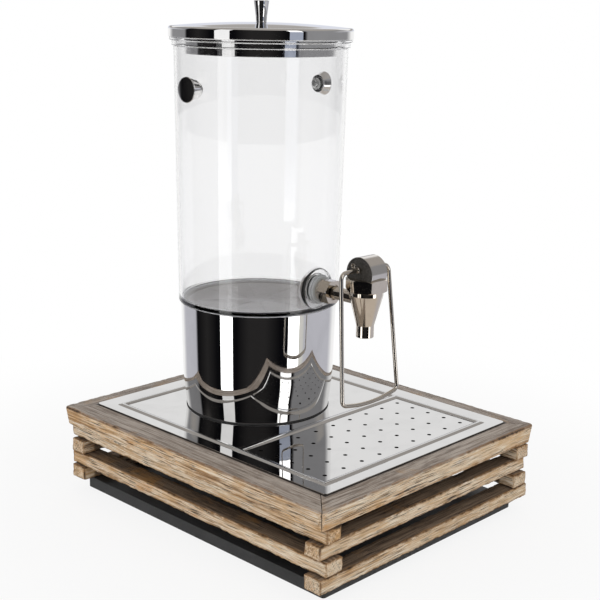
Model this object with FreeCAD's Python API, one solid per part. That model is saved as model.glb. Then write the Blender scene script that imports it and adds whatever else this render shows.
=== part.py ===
import FreeCAD, Part
import math
import os

# Juice dispenser on a stacked wooden base. Millimetres, +Z up.
# The tap is in front, towards -Y, and +X is to the right of someone who faces the tap.
# The origin is under the middle of the base, on the surface that the feet stand on.

V = FreeCAD.Vector

# Wooden base
frameX, frameY = 314.0, 367.0        # top frame, outside
railWidth = 40.0
frameBottom, frameTop = 71.0, 90.0
frameTaper = 2.2                     # how far the outer face leans in at its foot
frameCorner = 5.0
frameEase = 2.4
battenThick = 14.5
battenEase = 1.4
plinthX, plinthY = 279.0, 338.0
plinthCentreY = -2.0
plinthBottom, plinthTop = 1.0, 13.0
plinthCorner = 3.0
footR, footSink = 10.0, 2.0
footX, footY = 118.0, 148.0

# Long screws that hold the stack together
stackX, stackY = 134.6, 164.6
stackShankR, stackHeadR, stackTip = 1.75, 3.6, 84.0
stackPlay = 0.1                      # room round the shank and the head

# Tray: centre, outside size, sheet and levels
trayX, trayY = 4.5, 1.75
trayWide, trayDeep = 265.5, 324.0
sheet = 1.0
trayTop = 91.0
trayCorner = 7.0
beadLeft, beadRight = -116.0, 118.8  # outer foot of the raised bead
beadFront, beadRear = -148.2, 144.7
beadWide, beadHigh, beadLean = 7.2, 1.6, 1.7
dividerFront, dividerRear = -39.8, -30.0
ledge = 4.0                          # what the drip grid rests on
wellFloor = 58.0
wellCorner = 8.0

# Drip grid
gridGap = 0.35
holeR = 1.7
holeCountX, holeCountY = 9, 5
holePitchX, holePitchY = 24.87, 20.39
holeFirstX, holeFirstY = 100.95, -49.5   # rear right hole

# Container, collar and lid share one axis
tubeX, tubeY = -2.0, 55.0
collarFootR, collarKneeR, collarTopR = 73.8, 77.4, 79.5
collarKnee, collarTop = 123.0, 202.7
collarBend = 180.0                   # radius of the soft bend at the knee
collarFlangeR = 63.5                 # inner edge of the flange at the foot
collarSheet = 1.2
sealHigh, sealEdge = 1.0, 0.5
collarBoltR, collarBoltCount = 67.8, 3
boltR, boltHoleR, boltHeadR, boltTip = 2.0, 2.2, 3.6, 6.0
collarNutFlat, collarNutHigh = 7.0, 3.2
wall = 3.2
tubeFootR, tubeTopR = 81.4, 85.2
floorTop = 206.0
spigotR, spigotBottom = 77.3, 196.0
rimStep, rimLip, rimTop = 455.2, 460.4, 463.7
rimStepR, rimLipR = 87.2, 89.3
ribCount = 8

# Cooling pack inside the collar
packStepR, packFootR, packR = 61.5, 71.6, 73.4
packStep, packKnee, packTop = 99.0, 125.0, 199.6
packEase = 2.0
ribHigh, ribHalf, ribTurn = 1.2, 1.2, 10.0
hubR = 12.0

# Lid
lidR = 90.4
lidBottom, lidShoulder, domeTop = 463.9, 474.3, 478.6
lidEdge = 3.0
domeR = 85.5
skirtR, skirtBottom = 75.0, 448.0
knobTop, knobTopR, knobFootR = 499.0, 7.7, 5.3
knobScrewR, knobScrewHeadR, knobScrewLong = 2.0, 3.8, 12.5

# Carrying studs on both sides of the tube
studZ = 417.0
studLong, studOuterR, studInnerR = 12.0, 12.0, 8.9
studHoleR = 2.4
studScrewR, studHeadR, studSealR = 2.0, 4.3, 6.0
crossHalf, crossWide, crossDeep = 2.6, 0.45, 1.2

# Tap
tapX, tapY = -2.0, -90.0             # axis of the upright chamber
pipeZ, pipeR, pipeBoreR = 227.5, 6.3, 4.0
padR, padFace = 20.0, -28.8
innerPadR, innerPadFace = 15.0, -21.6
gasketR, gasketThick = 14.6, 2.5
washerR, washerTop = 13.4, -33.3
nutBack, nutFront, nutFlat = -37.5, -49.0, 21.6
nutCollarR, nutRecessR, nutRecess = 10.4, 7.6, 1.2
innerGasketR, innerGasketThick = 13.0, 2.0
lockFlat, lockLong = 22.0, 6.0
tipBottom, tipTop, tipR = 192.0, 203.5, 8.5
coneTop, bodyTop, bodyR = 233.0, 237.0, 16.2
seatZ, chamberR, outletR = 219.0, 9.5, 4.5
bonnetTop, bonnetFlat, bonnetTurn = 249.0, 35.3, -5.0
spigotBore, bonnetSpigotR, bonnetSpigot = 12.0, 11.9, 232.0
bonnetGasketThick = 0.8
headR, headZ, headHalf = 16.0, 254.0, 11.0
pinR, pinBack, pinUp, pinDeep = 2.6, 7.4, 2.6, 4.0
stemR = 2.2
stemSealR, stemSealDeep = 4.5, 2.6
stemFlangeR, stemFlange = 6.2, 224.5
springPocketR, springTop = 6.6, 238.0
plugR = 7.0

# Lever: a bent wire that turns in the head, and the cam on it
leverZ = 258.0
wireR, wireBoreR = 2.0, 2.06
leverShift = -2.5                    # the wire sits a little off the middle of the head
topHalf, footHalf, leverLong = 33.3, 39.6, 123.5
footBow = 7.0                        # how far the two halves of the foot run down to the middle
leverTilt = math.radians(5.3)        # the foot hangs a little to the front
topBend, footBend, bowBend = 7.0, 6.0, 160.0
camReach, camR, camHalf, camHubR = 3.2, 4.2, 1.7, 2.9
camAngle = math.radians(-15.0)
camY = camReach * math.cos(camAngle)
camZ = camReach * math.sin(camAngle)
camLift = -2 * camZ                  # how far the cam raises the yoke over its whole turn
keepR, keepGap, keepLong = 3.1, 0.3, 3.3

# Yoke of the valve stem, with the window that the cam turns in
yokeHalf, yokeWall = 2.0, 1.3
windowHalf = camR + 0.15
windowFront, windowRear = tapY - 3.2, tapY + camReach + camR + 0.35
yokeFront, yokeRear = windowFront - yokeWall, windowRear + yokeWall
yokeTop = leverZ + camZ + windowHalf + yokeWall
yokeBottom = leverZ + camZ - windowHalf - yokeWall


def block(x0, x1, y0, y1, z0, z1):
    return Part.makeBox(x1 - x0, y1 - y0, z1 - z0, V(x0, y0, z0))


def post(radius, z0, z1, x, y):
    return Part.makeCylinder(radius, z1 - z0, V(x, y, z0))


def pipeAlongY(radius, y0, y1, x, z):
    return Part.makeCylinder(radius, y1 - y0, V(x, y0, z), V(0, 1, 0))


def pipeAlongX(radius, x0, x1, y, z):
    return Part.makeCylinder(radius, x1 - x0, V(x0, y, z), V(1, 0, 0))


def turned(points, x, y):
    """Solid of revolution about an upright axis, from radius and height pairs."""
    path = [V(x + r, y, z) for r, z in points]
    face = Part.Face(Part.makePolygon(path + [path[0]]))
    return face.revolve(V(x, y, 0), V(0, 0, 1), 360)


def roundedOutline(x0, x1, y0, y1, radius, z):
    """Closed rectangle with rounded corners, level at height z."""
    k = radius * (1 - math.sqrt(0.5))
    corners = [
        ((x1 - radius, y0), (x1 - k, y0 + k), (x1, y0 + radius)),
        ((x1, y1 - radius), (x1 - k, y1 - k), (x1 - radius, y1)),
        ((x0 + radius, y1), (x0 + k, y1 - k), (x0, y1 - radius)),
        ((x0, y0 + radius), (x0 + k, y0 + k), (x0 + radius, y0)),
    ]
    edges = []
    for index, (start, middle, end) in enumerate(corners):
        after = corners[(index + 1) % 4][0]
        edges.append(Part.Arc(V(*start, z), V(*middle, z), V(*end, z)).toShape())
        edges.append(Part.LineSegment(V(*end, z), V(*after, z)).toShape())
    return Part.Wire(edges)


def slab(x0, x1, y0, y1, radius, z0, z1):
    outline = roundedOutline(x0, x1, y0, y1, radius, z0)
    return Part.Face(outline).extrude(V(0, 0, z1 - z0))


def tapered(x0, x1, y0, y1, radius, z0, z1, spread):
    """Rounded block whose top is wider than its foot by spread on every side."""
    foot = roundedOutline(x0, x1, y0, y1, radius, z0)
    top = roundedOutline(x0 - spread, x1 + spread, y0 - spread, y1 + spread, radius + spread, z1)
    return Part.makeLoft([foot, top], True)


def hexagon(flat, start, length, centre, axis, turn=0.0):
    """Hexagonal bar along an axis, turned in degrees about it."""
    radius = flat / math.sqrt(3)
    points = []
    for corner in range(7):
        angle = math.radians(60 * corner + turn)
        points.append(V(radius * math.cos(angle), radius * math.sin(angle), 0))
    bar = Part.Face(Part.makePolygon(points)).extrude(V(0, 0, length))
    bar.Placement = FreeCAD.Placement(centre + axis * start, FreeCAD.Rotation(V(0, 0, 1), axis))
    return bar


def hexWithCorners(flat, start, length, centre, axis, turn, corner):
    """The same bar with its corners turned off at both ends."""
    bar = hexagon(flat, start, length, centre, axis, turn)
    radius = flat / math.sqrt(3)
    rise = corner * 0.6
    profile = [V(0, 0, 0), V(radius - corner, 0, 0), V(radius, 0, rise)]
    profile += [V(radius, 0, length - rise), V(radius - corner, 0, length), V(0, 0, length)]
    barrel = Part.Face(Part.makePolygon(profile + [profile[0]])).revolve(V(0, 0, 0), V(0, 0, 1), 360)
    barrel.Placement = FreeCAD.Placement(centre + axis * start, FreeCAD.Rotation(V(0, 0, 1), axis))
    return bar.common(barrel)


def bentPath(corners, bends):
    """Edges of straight runs, with an arc at every inner corner."""
    edges = []
    start = corners[0]
    for index in range(1, len(corners) - 1):
        corner, after = corners[index], corners[index + 1]
        back = (corners[index - 1] - corner).normalize()
        on = (after - corner).normalize()
        half = back.getAngle(on) / 2
        reach = bends[index - 1] / math.tan(half)
        centre = corner + (back + on).normalize() * (bends[index - 1] / math.sin(half))
        first, last = corner + back * reach, corner + on * reach
        middle = centre + (corner - centre).normalize() * bends[index - 1]
        edges.append(Part.LineSegment(start, first).toShape())
        edges.append(Part.Arc(first, middle, last).toShape())
        start = last
    edges.append(Part.LineSegment(start, corners[-1]).toShape())
    return edges


def group(shapes):
    return Part.Compound(shapes)


def save(name, shape):
    shape.exportStep("parts/" + name + ".step")


def tubeRadius(z):
    """Outer radius of the tapered tube at a height."""
    share = (z - collarTop) / (rimStep - collarTop)
    return tubeFootR + (tubeTopR - tubeFootR) * share


# Wooden base

def frameRails():
    """One tapered ring, parted along its mitres into four rails."""
    hx, hy = frameX / 2, frameY / 2
    lean = frameTaper
    ring = tapered(-hx + lean, hx - lean, -hy + lean, hy - lean, frameCorner - lean,
                   frameBottom, frameTop, lean)
    topEdges = [e for e in ring.Edges if all(abs(v.Z - frameTop) < 0.01 for v in e.Vertexes)]
    ring = ring.makeFillet(frameEase, topEdges)
    ring = ring.cut(block(railWidth - hx, hx - railWidth, railWidth - hy, hy - railWidth, 0, frameTop + 10))
    inner = V(hx - railWidth, hy - railWidth, 0)
    outer = V(hx + 5, hy + 5, 0)
    rails = {}
    sides = {
        "frame_rail_right": [(1, -1), (1, 1)],
        "frame_rail_rear": [(1, 1), (-1, 1)],
        "frame_rail_left": [(-1, 1), (-1, -1)],
        "frame_rail_front": [(-1, -1), (1, -1)],
    }
    for name, ends in sides.items():
        (ax, ay), (bx, by) = ends
        path = [
            V(ax * inner.x, ay * inner.y, 0),
            V(ax * outer.x, ay * outer.y, 0),
            V(bx * outer.x, by * outer.y, 0),
            V(bx * inner.x, by * inner.y, 0),
        ]
        wedge = Part.Face(Part.makePolygon(path + [path[0]])).extrude(V(0, 0, frameTop + 10))
        rails[name] = ring.common(wedge)
    return rails


def stackBores(radius, z0, z1):
    return [post(radius, z0, z1, sx * stackX, sy * stackY) for sx in (-1, 1) for sy in (-1, 1)]


def batten(x0, x1, y0, y1, layer):
    """One hand-cut batten; layer 1 is right under the frame."""
    top = frameBottom - battenThick * (layer - 1)
    stick = block(x0, x1, y0, y1, top - battenThick, top)
    stick = stick.makeFillet(battenEase, stick.Edges)
    return stick.cut(group(stackBores(stackShankR + stackPlay, 0, frameTop - 5)))


def battens():
    """Every batten is cut and laid a little differently, as on the real stack."""
    return {
        "batten_1_left": batten(-148.3, -128.8, -181.8, 181.3, 1),
        "batten_1_right": batten(128.9, 148.9, -183.0, 180.8, 1),
        "batten_2_front": batten(-153.2, 150.8, -178.4, -158.7, 2),
        "batten_2_rear": batten(-153.0, 151.2, 156.0, 176.0, 2),
        "batten_3_left": batten(-149.9, -127.8, -182.8, 179.2, 3),
        "batten_3_right": batten(126.0, 147.7, -183.1, 179.4, 3),
        "batten_4_front": batten(-155.4, 152.4, -181.9, -161.4, 4),
        "batten_4_rear": batten(-152.2, 152.0, 156.4, 177.8, 4),
    }


def plinthBoard():
    hx, hy = plinthX / 2, plinthY / 2
    board = slab(-hx, hx, plinthCentreY - hy, plinthCentreY + hy, plinthCorner, plinthBottom, plinthTop)
    cuts = stackBores(stackShankR + stackPlay, 0, plinthTop + 1)
    cuts += stackBores(stackHeadR + stackPlay, 0, plinthBottom + 3.0)
    cuts += [post(footR + 0.1, 0, plinthBottom + footSink, x, y) for x, y in footPlaces()]
    return board.cut(group(cuts))


def footPlaces():
    return [(sx * footX, sy * footY + plinthCentreY) for sx in (-1, 1) for sy in (-1, 1)]


def footPads():
    return group([post(footR, 0, plinthBottom + footSink, x, y) for x, y in footPlaces()])


def stackScrews():
    screws = []
    for sx in (-1, 1):
        for sy in (-1, 1):
            head = plinthBottom + 0.4
            shape = [(0, head), (stackHeadR, head), (stackHeadR, head + 0.6), (stackShankR, head + 2.4)]
            shape += [(stackShankR, stackTip - 3), (0, stackTip)]
            screw = turned(shape, sx * stackX, sy * stackY)
            slot = block(-0.5, 0.5, -2.2, 2.2, 0, head + 0.9)
            slot.translate(V(sx * stackX, sy * stackY, 0))
            screws.append(screw.cut(slot))
    return group(screws)


# Tray, drip grid, collar and cooling pack

def beadRidge(lift, slim):
    """Raised bead round both panels, with the wider divider between them."""
    x0, x1, y0, y1 = beadLeft + slim, beadRight - slim, beadFront + slim, beadRear - slim
    wide = beadWide - 2 * slim
    foot, top = trayTop + lift, trayTop + beadHigh + lift
    outer = tapered(x0, x1, y0, y1, 5.0, foot, top, -beadLean)
    inner = tapered(x0 + wide, x1 - wide, y0 + wide, y1 - wide, 1.0, foot, top, beadLean)
    ridge = outer.cut(inner)
    bar = tapered(x0 + wide / 2, x1 - wide / 2, dividerFront + slim, dividerRear - slim, 2.0,
                  foot, top, -beadLean)
    return ridge.fuse(bar)


def gridOpening(margin):
    return (
        beadLeft + beadWide + margin,
        beadRight - beadWide - margin,
        beadFront + beadWide + margin,
        dividerFront - margin,
    )


def collarBolts():
    places = []
    for index in range(collarBoltCount):
        angle = math.radians(90 + 360 / collarBoltCount * index)
        places.append((tubeX + collarBoltR * math.cos(angle), tubeY + collarBoltR * math.sin(angle)))
    return places


def tray():
    hx, hy = trayWide / 2, trayDeep / 2
    plate = slab(trayX - hx, trayX + hx, trayY - hy, trayY + hy, trayCorner, trayTop - sheet, trayTop)
    plate = plate.fuse(beadRidge(0, 0)).cut(beadRidge(-sheet, sheet * 0.7))
    ox0, ox1, oy0, oy1 = gridOpening(0)
    under = trayTop - sheet
    rest = slab(ox0 - 1, ox1 + 1, oy0 - 1, oy1 + 1, 2.0, under - sheet, under + 0.1)
    well = slab(ox0 + ledge - sheet, ox1 - ledge + sheet, oy0 + ledge - sheet, oy1 - ledge + sheet,
                wellCorner, wellFloor, under)
    inside = slab(ox0 + ledge, ox1 - ledge, oy0 + ledge, oy1 - ledge, wellCorner - sheet,
                  wellFloor + sheet, trayTop + 5)
    mouth = slab(ox0, ox1, oy0, oy1, 1.0, under, trayTop + 5)
    body = plate.fuse(rest).fuse(well).cut(mouth).cut(inside)
    bolts = [post(boltHoleR, under - 5, trayTop + 5, x, y) for x, y in collarBolts()]
    return body.cut(group(bolts))


def dripGrid():
    x0, x1, y0, y1 = gridOpening(gridGap)
    plate = slab(x0, x1, y0, y1, 1.0, trayTop - sheet, trayTop)
    holes = []
    for column in range(holeCountX):
        for row in range(holeCountY):
            x = holeFirstX - holePitchX * column
            y = holeFirstY - holePitchY * row
            holes.append(post(holeR, trayTop - 2 * sheet, trayTop + sheet, x, y))
    return plate.cut(group(holes))


def collarWall(inset, foot):
    """Side line of the sleeve: a leaning foot, a soft bend and the long upper part."""
    radii = ((collarFootR, foot), (collarKneeR, collarKnee), (collarTopR, collarTop))
    corners = [V(tubeX + radius - inset, tubeY, z) for radius, z in radii]
    return bentPath(corners, [collarBend])


def collar():
    foot = trayTop + sealHigh
    flange = V(tubeX + collarFlangeR, tubeY, foot)
    inside = collarWall(collarSheet, foot + collarSheet)
    outside = collarWall(0, foot)
    outline = outside + inside
    rise = V(0, 0, collarSheet)
    links = [
        (flange, V(tubeX + collarFootR, tubeY, foot)),
        (V(tubeX + collarTopR, tubeY, collarTop), V(tubeX + collarTopR - collarSheet, tubeY, collarTop)),
        (V(tubeX + collarFootR - collarSheet, tubeY, foot + collarSheet), flange + rise),
        (flange + rise, flange),
    ]
    outline += [Part.LineSegment(start, end).toShape() for start, end in links]
    face = Part.Face(Part.Wire(Part.sortEdges(outline)[0]))
    ring = face.revolve(V(tubeX, tubeY, 0), V(0, 0, 1), 360)
    return ring.cut(group([post(boltHoleR, foot - 1, foot + 5, x, y) for x, y in collarBolts()]))


def collarSeal():
    edge = collarFootR + sealEdge
    top = trayTop + sealHigh
    outline = [(collarFlangeR, trayTop), (edge, trayTop), (edge, top), (collarFlangeR, top)]
    ring = turned(outline, tubeX, tubeY)
    return ring.cut(group([post(boltHoleR, trayTop - 1, top + 1, x, y) for x, y in collarBolts()]))


def collarScrews():
    screws = []
    seat = trayTop + sealHigh + collarSheet
    tip = trayTop - boltTip
    for x, y in collarBolts():
        outline = [(0, tip), (boltR, tip), (boltR, seat), (boltHeadR, seat), (boltHeadR, seat + 1.6)]
        outline += [(boltHeadR - 1.2, seat + 2.4), (0, seat + 2.4)]
        screw = turned(outline, x, y)
        slot = block(x - 2.6, x + 2.6, y - 0.5, y + 0.5, seat + 1.3, seat + 3)
        screws.append(screw.cut(slot))
    return group(screws)


def collarNuts():
    nuts = []
    foot = trayTop - sheet - collarNutHigh
    for x, y in collarBolts():
        nut = hexWithCorners(collarNutFlat, 0, collarNutHigh, V(x, y, foot), V(0, 0, 1), 30, 0.5)
        nuts.append(nut.cut(post(boltR + 0.05, 0, trayTop, x, y)))
    return group(nuts)


def coolingPack():
    """Gel pack with a stepped foot inside the collar's flange and ribs on top."""
    outline = [
        (0, trayTop), (packStepR - 1, trayTop), (packStepR, trayTop + 1), (packStepR, packStep),
        (packFootR - packEase, packStep), (packFootR, packStep + packEase), (packR, packKnee),
        (packR, packTop - packEase), (packR - packEase, packTop), (0, packTop),
    ]
    pack = turned(outline, tubeX, tubeY)
    for index in range(ribCount):
        rib = block(hubR - 2, packR - 8, -ribHalf, ribHalf, packTop - 0.5, packTop + ribHigh)
        rib.rotate(V(0, 0, 0), V(0, 0, 1), 360 / ribCount * index + ribTurn)
        rib.translate(V(tubeX, tubeY, 0))
        pack = pack.fuse(rib)
    return pack.fuse(post(hubR, packTop - 0.5, packTop + ribHigh, tubeX, tubeY))


# Container

def container():
    outside = turned(
        [(0, collarTop), (tubeFootR - 1.2, collarTop), (tubeFootR, collarTop + 1.2), (tubeTopR, rimStep),
         (rimStepR, rimStep + 0.8), (rimStepR, rimLip), (rimLipR, rimLip + 0.6), (rimLipR, rimTop - 0.4),
         (rimLipR - 0.4, rimTop), (0, rimTop)], tubeX, tubeY)
    inside = turned(
        [(0, floorTop), (tubeFootR - wall - 2, floorTop), (tubeFootR - wall, floorTop + 2),
         (tubeTopR - wall, rimStep), (tubeTopR - wall, rimTop + 1), (0, rimTop + 1)], tubeX, tubeY)
    outerPad = pipeAlongY(padR, padFace, padFace + 8, tapX, pipeZ)
    innerPad = pipeAlongY(innerPadR, innerPadFace - 3, innerPadFace, tapX, pipeZ)
    spigot = turned([(spigotR - 2.2, spigotBottom), (spigotR, spigotBottom), (spigotR, collarTop + 0.5),
                     (spigotR - 2.2, collarTop + 0.5)], tubeX, tubeY)
    body = outside.fuse(outerPad).cut(inside).fuse(innerPad).fuse(spigot)
    holes = [pipeAlongY(pipeR + 0.3, padFace - 5, innerPadFace + 5, tapX, pipeZ)]
    holes.append(pipeAlongX(studHoleR, tubeX - 100, tubeX + 100, tubeY, studZ))
    return body.cut(group(holes))


def studParts():
    """Studs outside the wall, their screws and the soft washers inside, left and right."""
    outer = tubeRadius(studZ)
    inner = outer - wall
    screws, seals = [], []
    studs = {}
    for side, name in ((-1, "stud_left"), (1, "stud_right")):
        seat = tubeX + side * (outer - 0.6)
        face = tubeX + side * (outer + studLong)
        axis = V(side, 0, 0)
        long = abs(face - seat)
        profile = [V(0, 0, 0), V(studInnerR, 0, 0), V(studInnerR, 0, 1.6)]
        profile += [V(studOuterR - 0.6, 0, long - 1.5), V(studOuterR, 0, long - 0.6)]
        profile += [V(studOuterR - 0.6, 0, long), V(0, 0, long)]
        stud = Part.Face(Part.makePolygon(profile + [profile[0]])).revolve(V(0, 0, 0), V(0, 0, 1), 360)
        stud.Placement = FreeCAD.Placement(V(seat, tubeY, studZ), FreeCAD.Rotation(V(0, 0, 1), axis))
        wallCut = Part.makeCone(tubeRadius(studZ - 20) + 0.05, tubeRadius(studZ + 20) + 0.05, 40,
                                V(tubeX, tubeY, studZ - 20))
        shankEnd = tubeX + side * (outer + 7)
        boreEnds = min(seat, shankEnd) - 0.5, max(seat, shankEnd) + 0.5
        bore = pipeAlongX(studScrewR + 0.05, *boreEnds, tubeY, studZ)
        studs[name] = stud.cut(wallCut).cut(bore)
        sealOut = tubeX + side * (inner - 0.35)
        sealIn = tubeX + side * (inner - 1.95)
        seal = pipeAlongX(studSealR, min(sealIn, sealOut), max(sealIn, sealOut), tubeY, studZ)
        seals.append(seal.cut(pipeAlongX(studScrewR + 0.1, tubeX - 100, tubeX + 100, tubeY, studZ)))
        headIn = tubeX + side * (inner - 4.4)
        head = pipeAlongX(studHeadR, min(headIn, sealIn), max(headIn, sealIn), tubeY, studZ)
        shank = pipeAlongX(studScrewR, min(sealIn, shankEnd), max(sealIn, shankEnd), tubeY, studZ)
        screw = head.fuse(shank)
        crossIn = headIn + side * crossDeep
        for across, high in ((crossHalf, crossWide), (crossWide, crossHalf)):
            screw = screw.cut(block(min(headIn, crossIn) - 0.1, max(headIn, crossIn) + 0.1,
                                    tubeY - across, tubeY + across, studZ - high, studZ + high))
        screws.append(screw)
    return studs, group(screws), group(seals)


# Lid

def lidShell():
    """Chromed shell: straight band, rounded shoulder and a shallow dome."""
    t = 1.0
    rise = domeTop - lidShoulder
    chord = domeR
    sphere = (chord * chord + rise * rise) / (2 * rise)

    def domeZ(radius, drop):
        return domeTop - sphere + math.sqrt(sphere * sphere - radius * radius) - drop

    k = lidEdge * (1 - math.sqrt(0.5))
    band = lidShoulder - 0.2
    edges = [
        Part.LineSegment(V(lidR - t, 0, lidBottom), V(lidR, 0, lidBottom)),
        Part.LineSegment(V(lidR, 0, lidBottom), V(lidR, 0, band - lidEdge)),
        Part.Arc(V(lidR, 0, band - lidEdge), V(lidR - k, 0, band - k), V(lidR - lidEdge, 0, band)),
        Part.LineSegment(V(lidR - lidEdge, 0, band), V(domeR, 0, lidShoulder)),
        Part.Arc(V(domeR, 0, lidShoulder), V(domeR / 2, 0, domeZ(domeR / 2, 0)), V(0, 0, domeTop)),
        Part.LineSegment(V(0, 0, domeTop), V(0, 0, domeTop - t)),
        Part.Arc(V(0, 0, domeTop - t), V(domeR / 2, 0, domeZ(domeR / 2, t)), V(domeR, 0, lidShoulder - t)),
        Part.LineSegment(V(domeR, 0, lidShoulder - t), V(lidR - t, 0, band - lidEdge)),
        Part.LineSegment(V(lidR - t, 0, band - lidEdge), V(lidR - t, 0, lidBottom)),
    ]
    face = Part.Face(Part.Wire([e.toShape() for e in edges]))
    shell = face.revolve(V(0, 0, 0), V(0, 0, 1), 360)
    shell.translate(V(tubeX, tubeY, 0))
    return shell.cut(post(knobScrewR + 0.2, domeTop - 5, domeTop + 5, tubeX, tubeY))


def lidBase():
    """Pressed ring under the shell, with the skirt that hangs into the container."""
    t = 1.0
    outline = [(skirtR - t, skirtBottom), (skirtR, skirtBottom), (skirtR, rimTop), (lidR - t - 0.1, rimTop),
               (lidR - t - 0.1, rimTop + t), (skirtR - t, rimTop + t)]
    return turned(outline, tubeX, tubeY)


def lidKnob():
    outline = [(0, domeTop), (knobFootR, domeTop), (knobFootR, domeTop + 1.5), (5.9, 485.5), (6.8, 492.5)]
    outline += [(knobTopR, knobTop - 0.6), (knobTopR - 0.5, knobTop), (0, knobTop)]
    knob = turned(outline, tubeX, tubeY)
    return knob.cut(post(knobScrewR + 0.05, domeTop - 1, domeTop + knobScrewLong + 0.5, tubeX, tubeY))


def knobScrew():
    seat = domeTop - sheet - 0.02
    end = seat + knobScrewLong
    outline = [(0, seat - 2.6), (knobScrewHeadR - 0.8, seat - 2.6), (knobScrewHeadR, seat - 1.4)]
    outline += [(knobScrewHeadR, seat), (knobScrewR, seat), (knobScrewR, end), (0, end)]
    screw = turned(outline, tubeX, tubeY)
    slot = block(tubeX - 3.2, tubeX + 3.2, tubeY - 0.5, tubeY + 0.5, seat - 3, seat - 1.4)
    return screw.cut(slot)


# Tap

def ringAlongY(outer, inner, y0, y1):
    return pipeAlongY(outer, y0, y1, tapX, pipeZ).cut(pipeAlongY(inner, y0 - 1, y1 + 1, tapX, pipeZ))


def outerGasket():
    return ringAlongY(gasketR, pipeR + 0.1, padFace - gasketThick, padFace)


def outerWasher():
    ring = ringAlongY(washerR, pipeR + 0.1, washerTop, padFace - gasketThick)
    front = [e for e in ring.Edges if abs(e.BoundBox.YMax - washerTop) < 0.01]
    wide = [e for e in front if e.BoundBox.XLength > 2 * nutCollarR]
    return ring.makeFillet(1.0, wide)


def tapNut():
    centre = V(tapX, 0, pipeZ)
    body = hexWithCorners(nutFlat, nutFront, nutBack - nutFront, centre, V(0, 1, 0), 5.5, 0.9)
    body = body.fuse(pipeAlongY(nutCollarR, nutBack - 0.1, washerTop, tapX, pipeZ))
    body = body.cut(pipeAlongY(pipeR + 0.05, nutFront - 1, washerTop + 1, tapX, pipeZ))
    return body.cut(pipeAlongY(nutRecessR, nutFront - 1, nutFront + nutRecess, tapX, pipeZ))


def innerGasket():
    return ringAlongY(innerGasketR, pipeR + 0.1, innerPadFace, innerPadFace + innerGasketThick)


def lockNut():
    centre = V(tapX, 0, pipeZ)
    nut = hexWithCorners(lockFlat, innerPadFace + innerGasketThick, lockLong, centre, V(0, 1, 0), 0, 0.8)
    return nut.cut(pipeAlongY(pipeR + 0.05, innerPadFace, innerPadFace + 10, tapX, pipeZ))


def tapBody():
    """Nozzle, valve chamber and inlet pipe in one casting."""
    profile = [(0, tipBottom), (tipR - 0.3, tipBottom), (tipR, tipBottom + 0.3), (tipR, tipTop)]
    profile += [(tipR + 0.3, tipTop + 0.5), (bodyR, coneTop), (bodyR, bodyTop), (0, bodyTop)]
    outside = turned(profile, tapX, tapY)
    outside = outside.fuse(pipeAlongY(pipeR, tapY, innerPadFace + 9, tapX, pipeZ))
    mouthR = outletR + 2
    ledgeZ = bonnetSpigot - bonnetGasketThick
    bore = [(0, tipBottom - 1), (mouthR, tipBottom - 1), (mouthR, tipBottom + 8), (outletR, tipBottom + 10)]
    bore += [(outletR, seatZ), (chamberR, seatZ), (chamberR, ledgeZ), (spigotBore, ledgeZ)]
    bore += [(spigotBore, bodyTop + 1), (0, bodyTop + 1)]
    body = outside.cut(turned(bore, tapX, tapY))
    return body.cut(pipeAlongY(pipeBoreR, tapY, innerPadFace + 10, tapX, pipeZ))


def bonnetGasket():
    ring = post(bonnetSpigotR, bonnetSpigot - bonnetGasketThick, bonnetSpigot, tapX, tapY)
    return ring.cut(post(chamberR, bonnetSpigot - 2, bonnetSpigot + 2, tapX, tapY))


def tapBonnet():
    """Hexagonal bonnet with the spring pocket and the seal pocket."""
    axis = V(tapX, tapY, 0)
    bar = hexWithCorners(bonnetFlat, bodyTop, bonnetTop - bodyTop, axis, V(0, 0, 1), bonnetTurn, 1.8)
    bar = bar.fuse(post(bonnetSpigotR, bonnetSpigot, bodyTop + 1, tapX, tapY))
    bar = bar.cut(post(springPocketR, bonnetSpigot - 1, springTop, tapX, tapY))
    bar = bar.cut(post(stemR + 0.08, springTop - 1, bonnetTop + 1, tapX, tapY))
    return bar.cut(post(stemSealR, bonnetTop - stemSealDeep, bonnetTop + 1, tapX, tapY))


def stemSeal():
    ring = post(stemSealR - 0.1, bonnetTop - stemSealDeep, bonnetTop - 0.2, tapX, tapY)
    return ring.cut(post(stemR + 0.06, bonnetTop - 4, bonnetTop + 1, tapX, tapY))


def tapHead():
    """Half-round head across the bonnet, hollow for the yoke, bored for the wire."""
    head = pipeAlongX(headR, tapX - headHalf, tapX + headHalf, tapY, headZ)
    rims = [e for e in head.Edges if e.BoundBox.XLength < 0.01]
    head = head.makeFillet(0.6, rims)
    head = head.cut(block(tapX - 20, tapX + 20, tapY - 20, tapY + 20, headZ - 20, bonnetTop))
    pocket = block(tapX - yokeHalf - 0.6, tapX + yokeHalf + 0.6, yokeFront - 0.7, yokeRear + 0.7,
                   bonnetTop - 1, yokeTop + camLift + 0.7)
    head = head.cut(pocket).cut(pipeAlongX(wireBoreR, tapX - 30, tapX + 30, tapY, leverZ))
    return head.cut(group(pinStubs(0.0, pinR + 0.05)))


def pinStubs(proud, radius):
    """Short pins let into both faces of the head, behind the wire."""
    stubs = []
    for side in (-1, 1):
        x0 = tapX + side * (headHalf + proud)
        x1 = tapX + side * (headHalf - pinDeep)
        stubs.append(pipeAlongX(radius, min(x0, x1), max(x0, x1), tapY + pinBack, leverZ + pinUp))
    return stubs


def headPins():
    pins = []
    proud, dimpleR, dimpleDeep = 0.7, 1.6, 0.6
    for side, stub in zip((-1, 1), pinStubs(proud, pinR)):
        face = tapX + side * (headHalf + proud)
        floor = face - side * dimpleDeep
        dimple = pipeAlongX(dimpleR, min(face, floor), max(face, floor), tapY + pinBack, leverZ + pinUp)
        pins.append(stub.cut(dimple))
    return group(pins)


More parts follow.
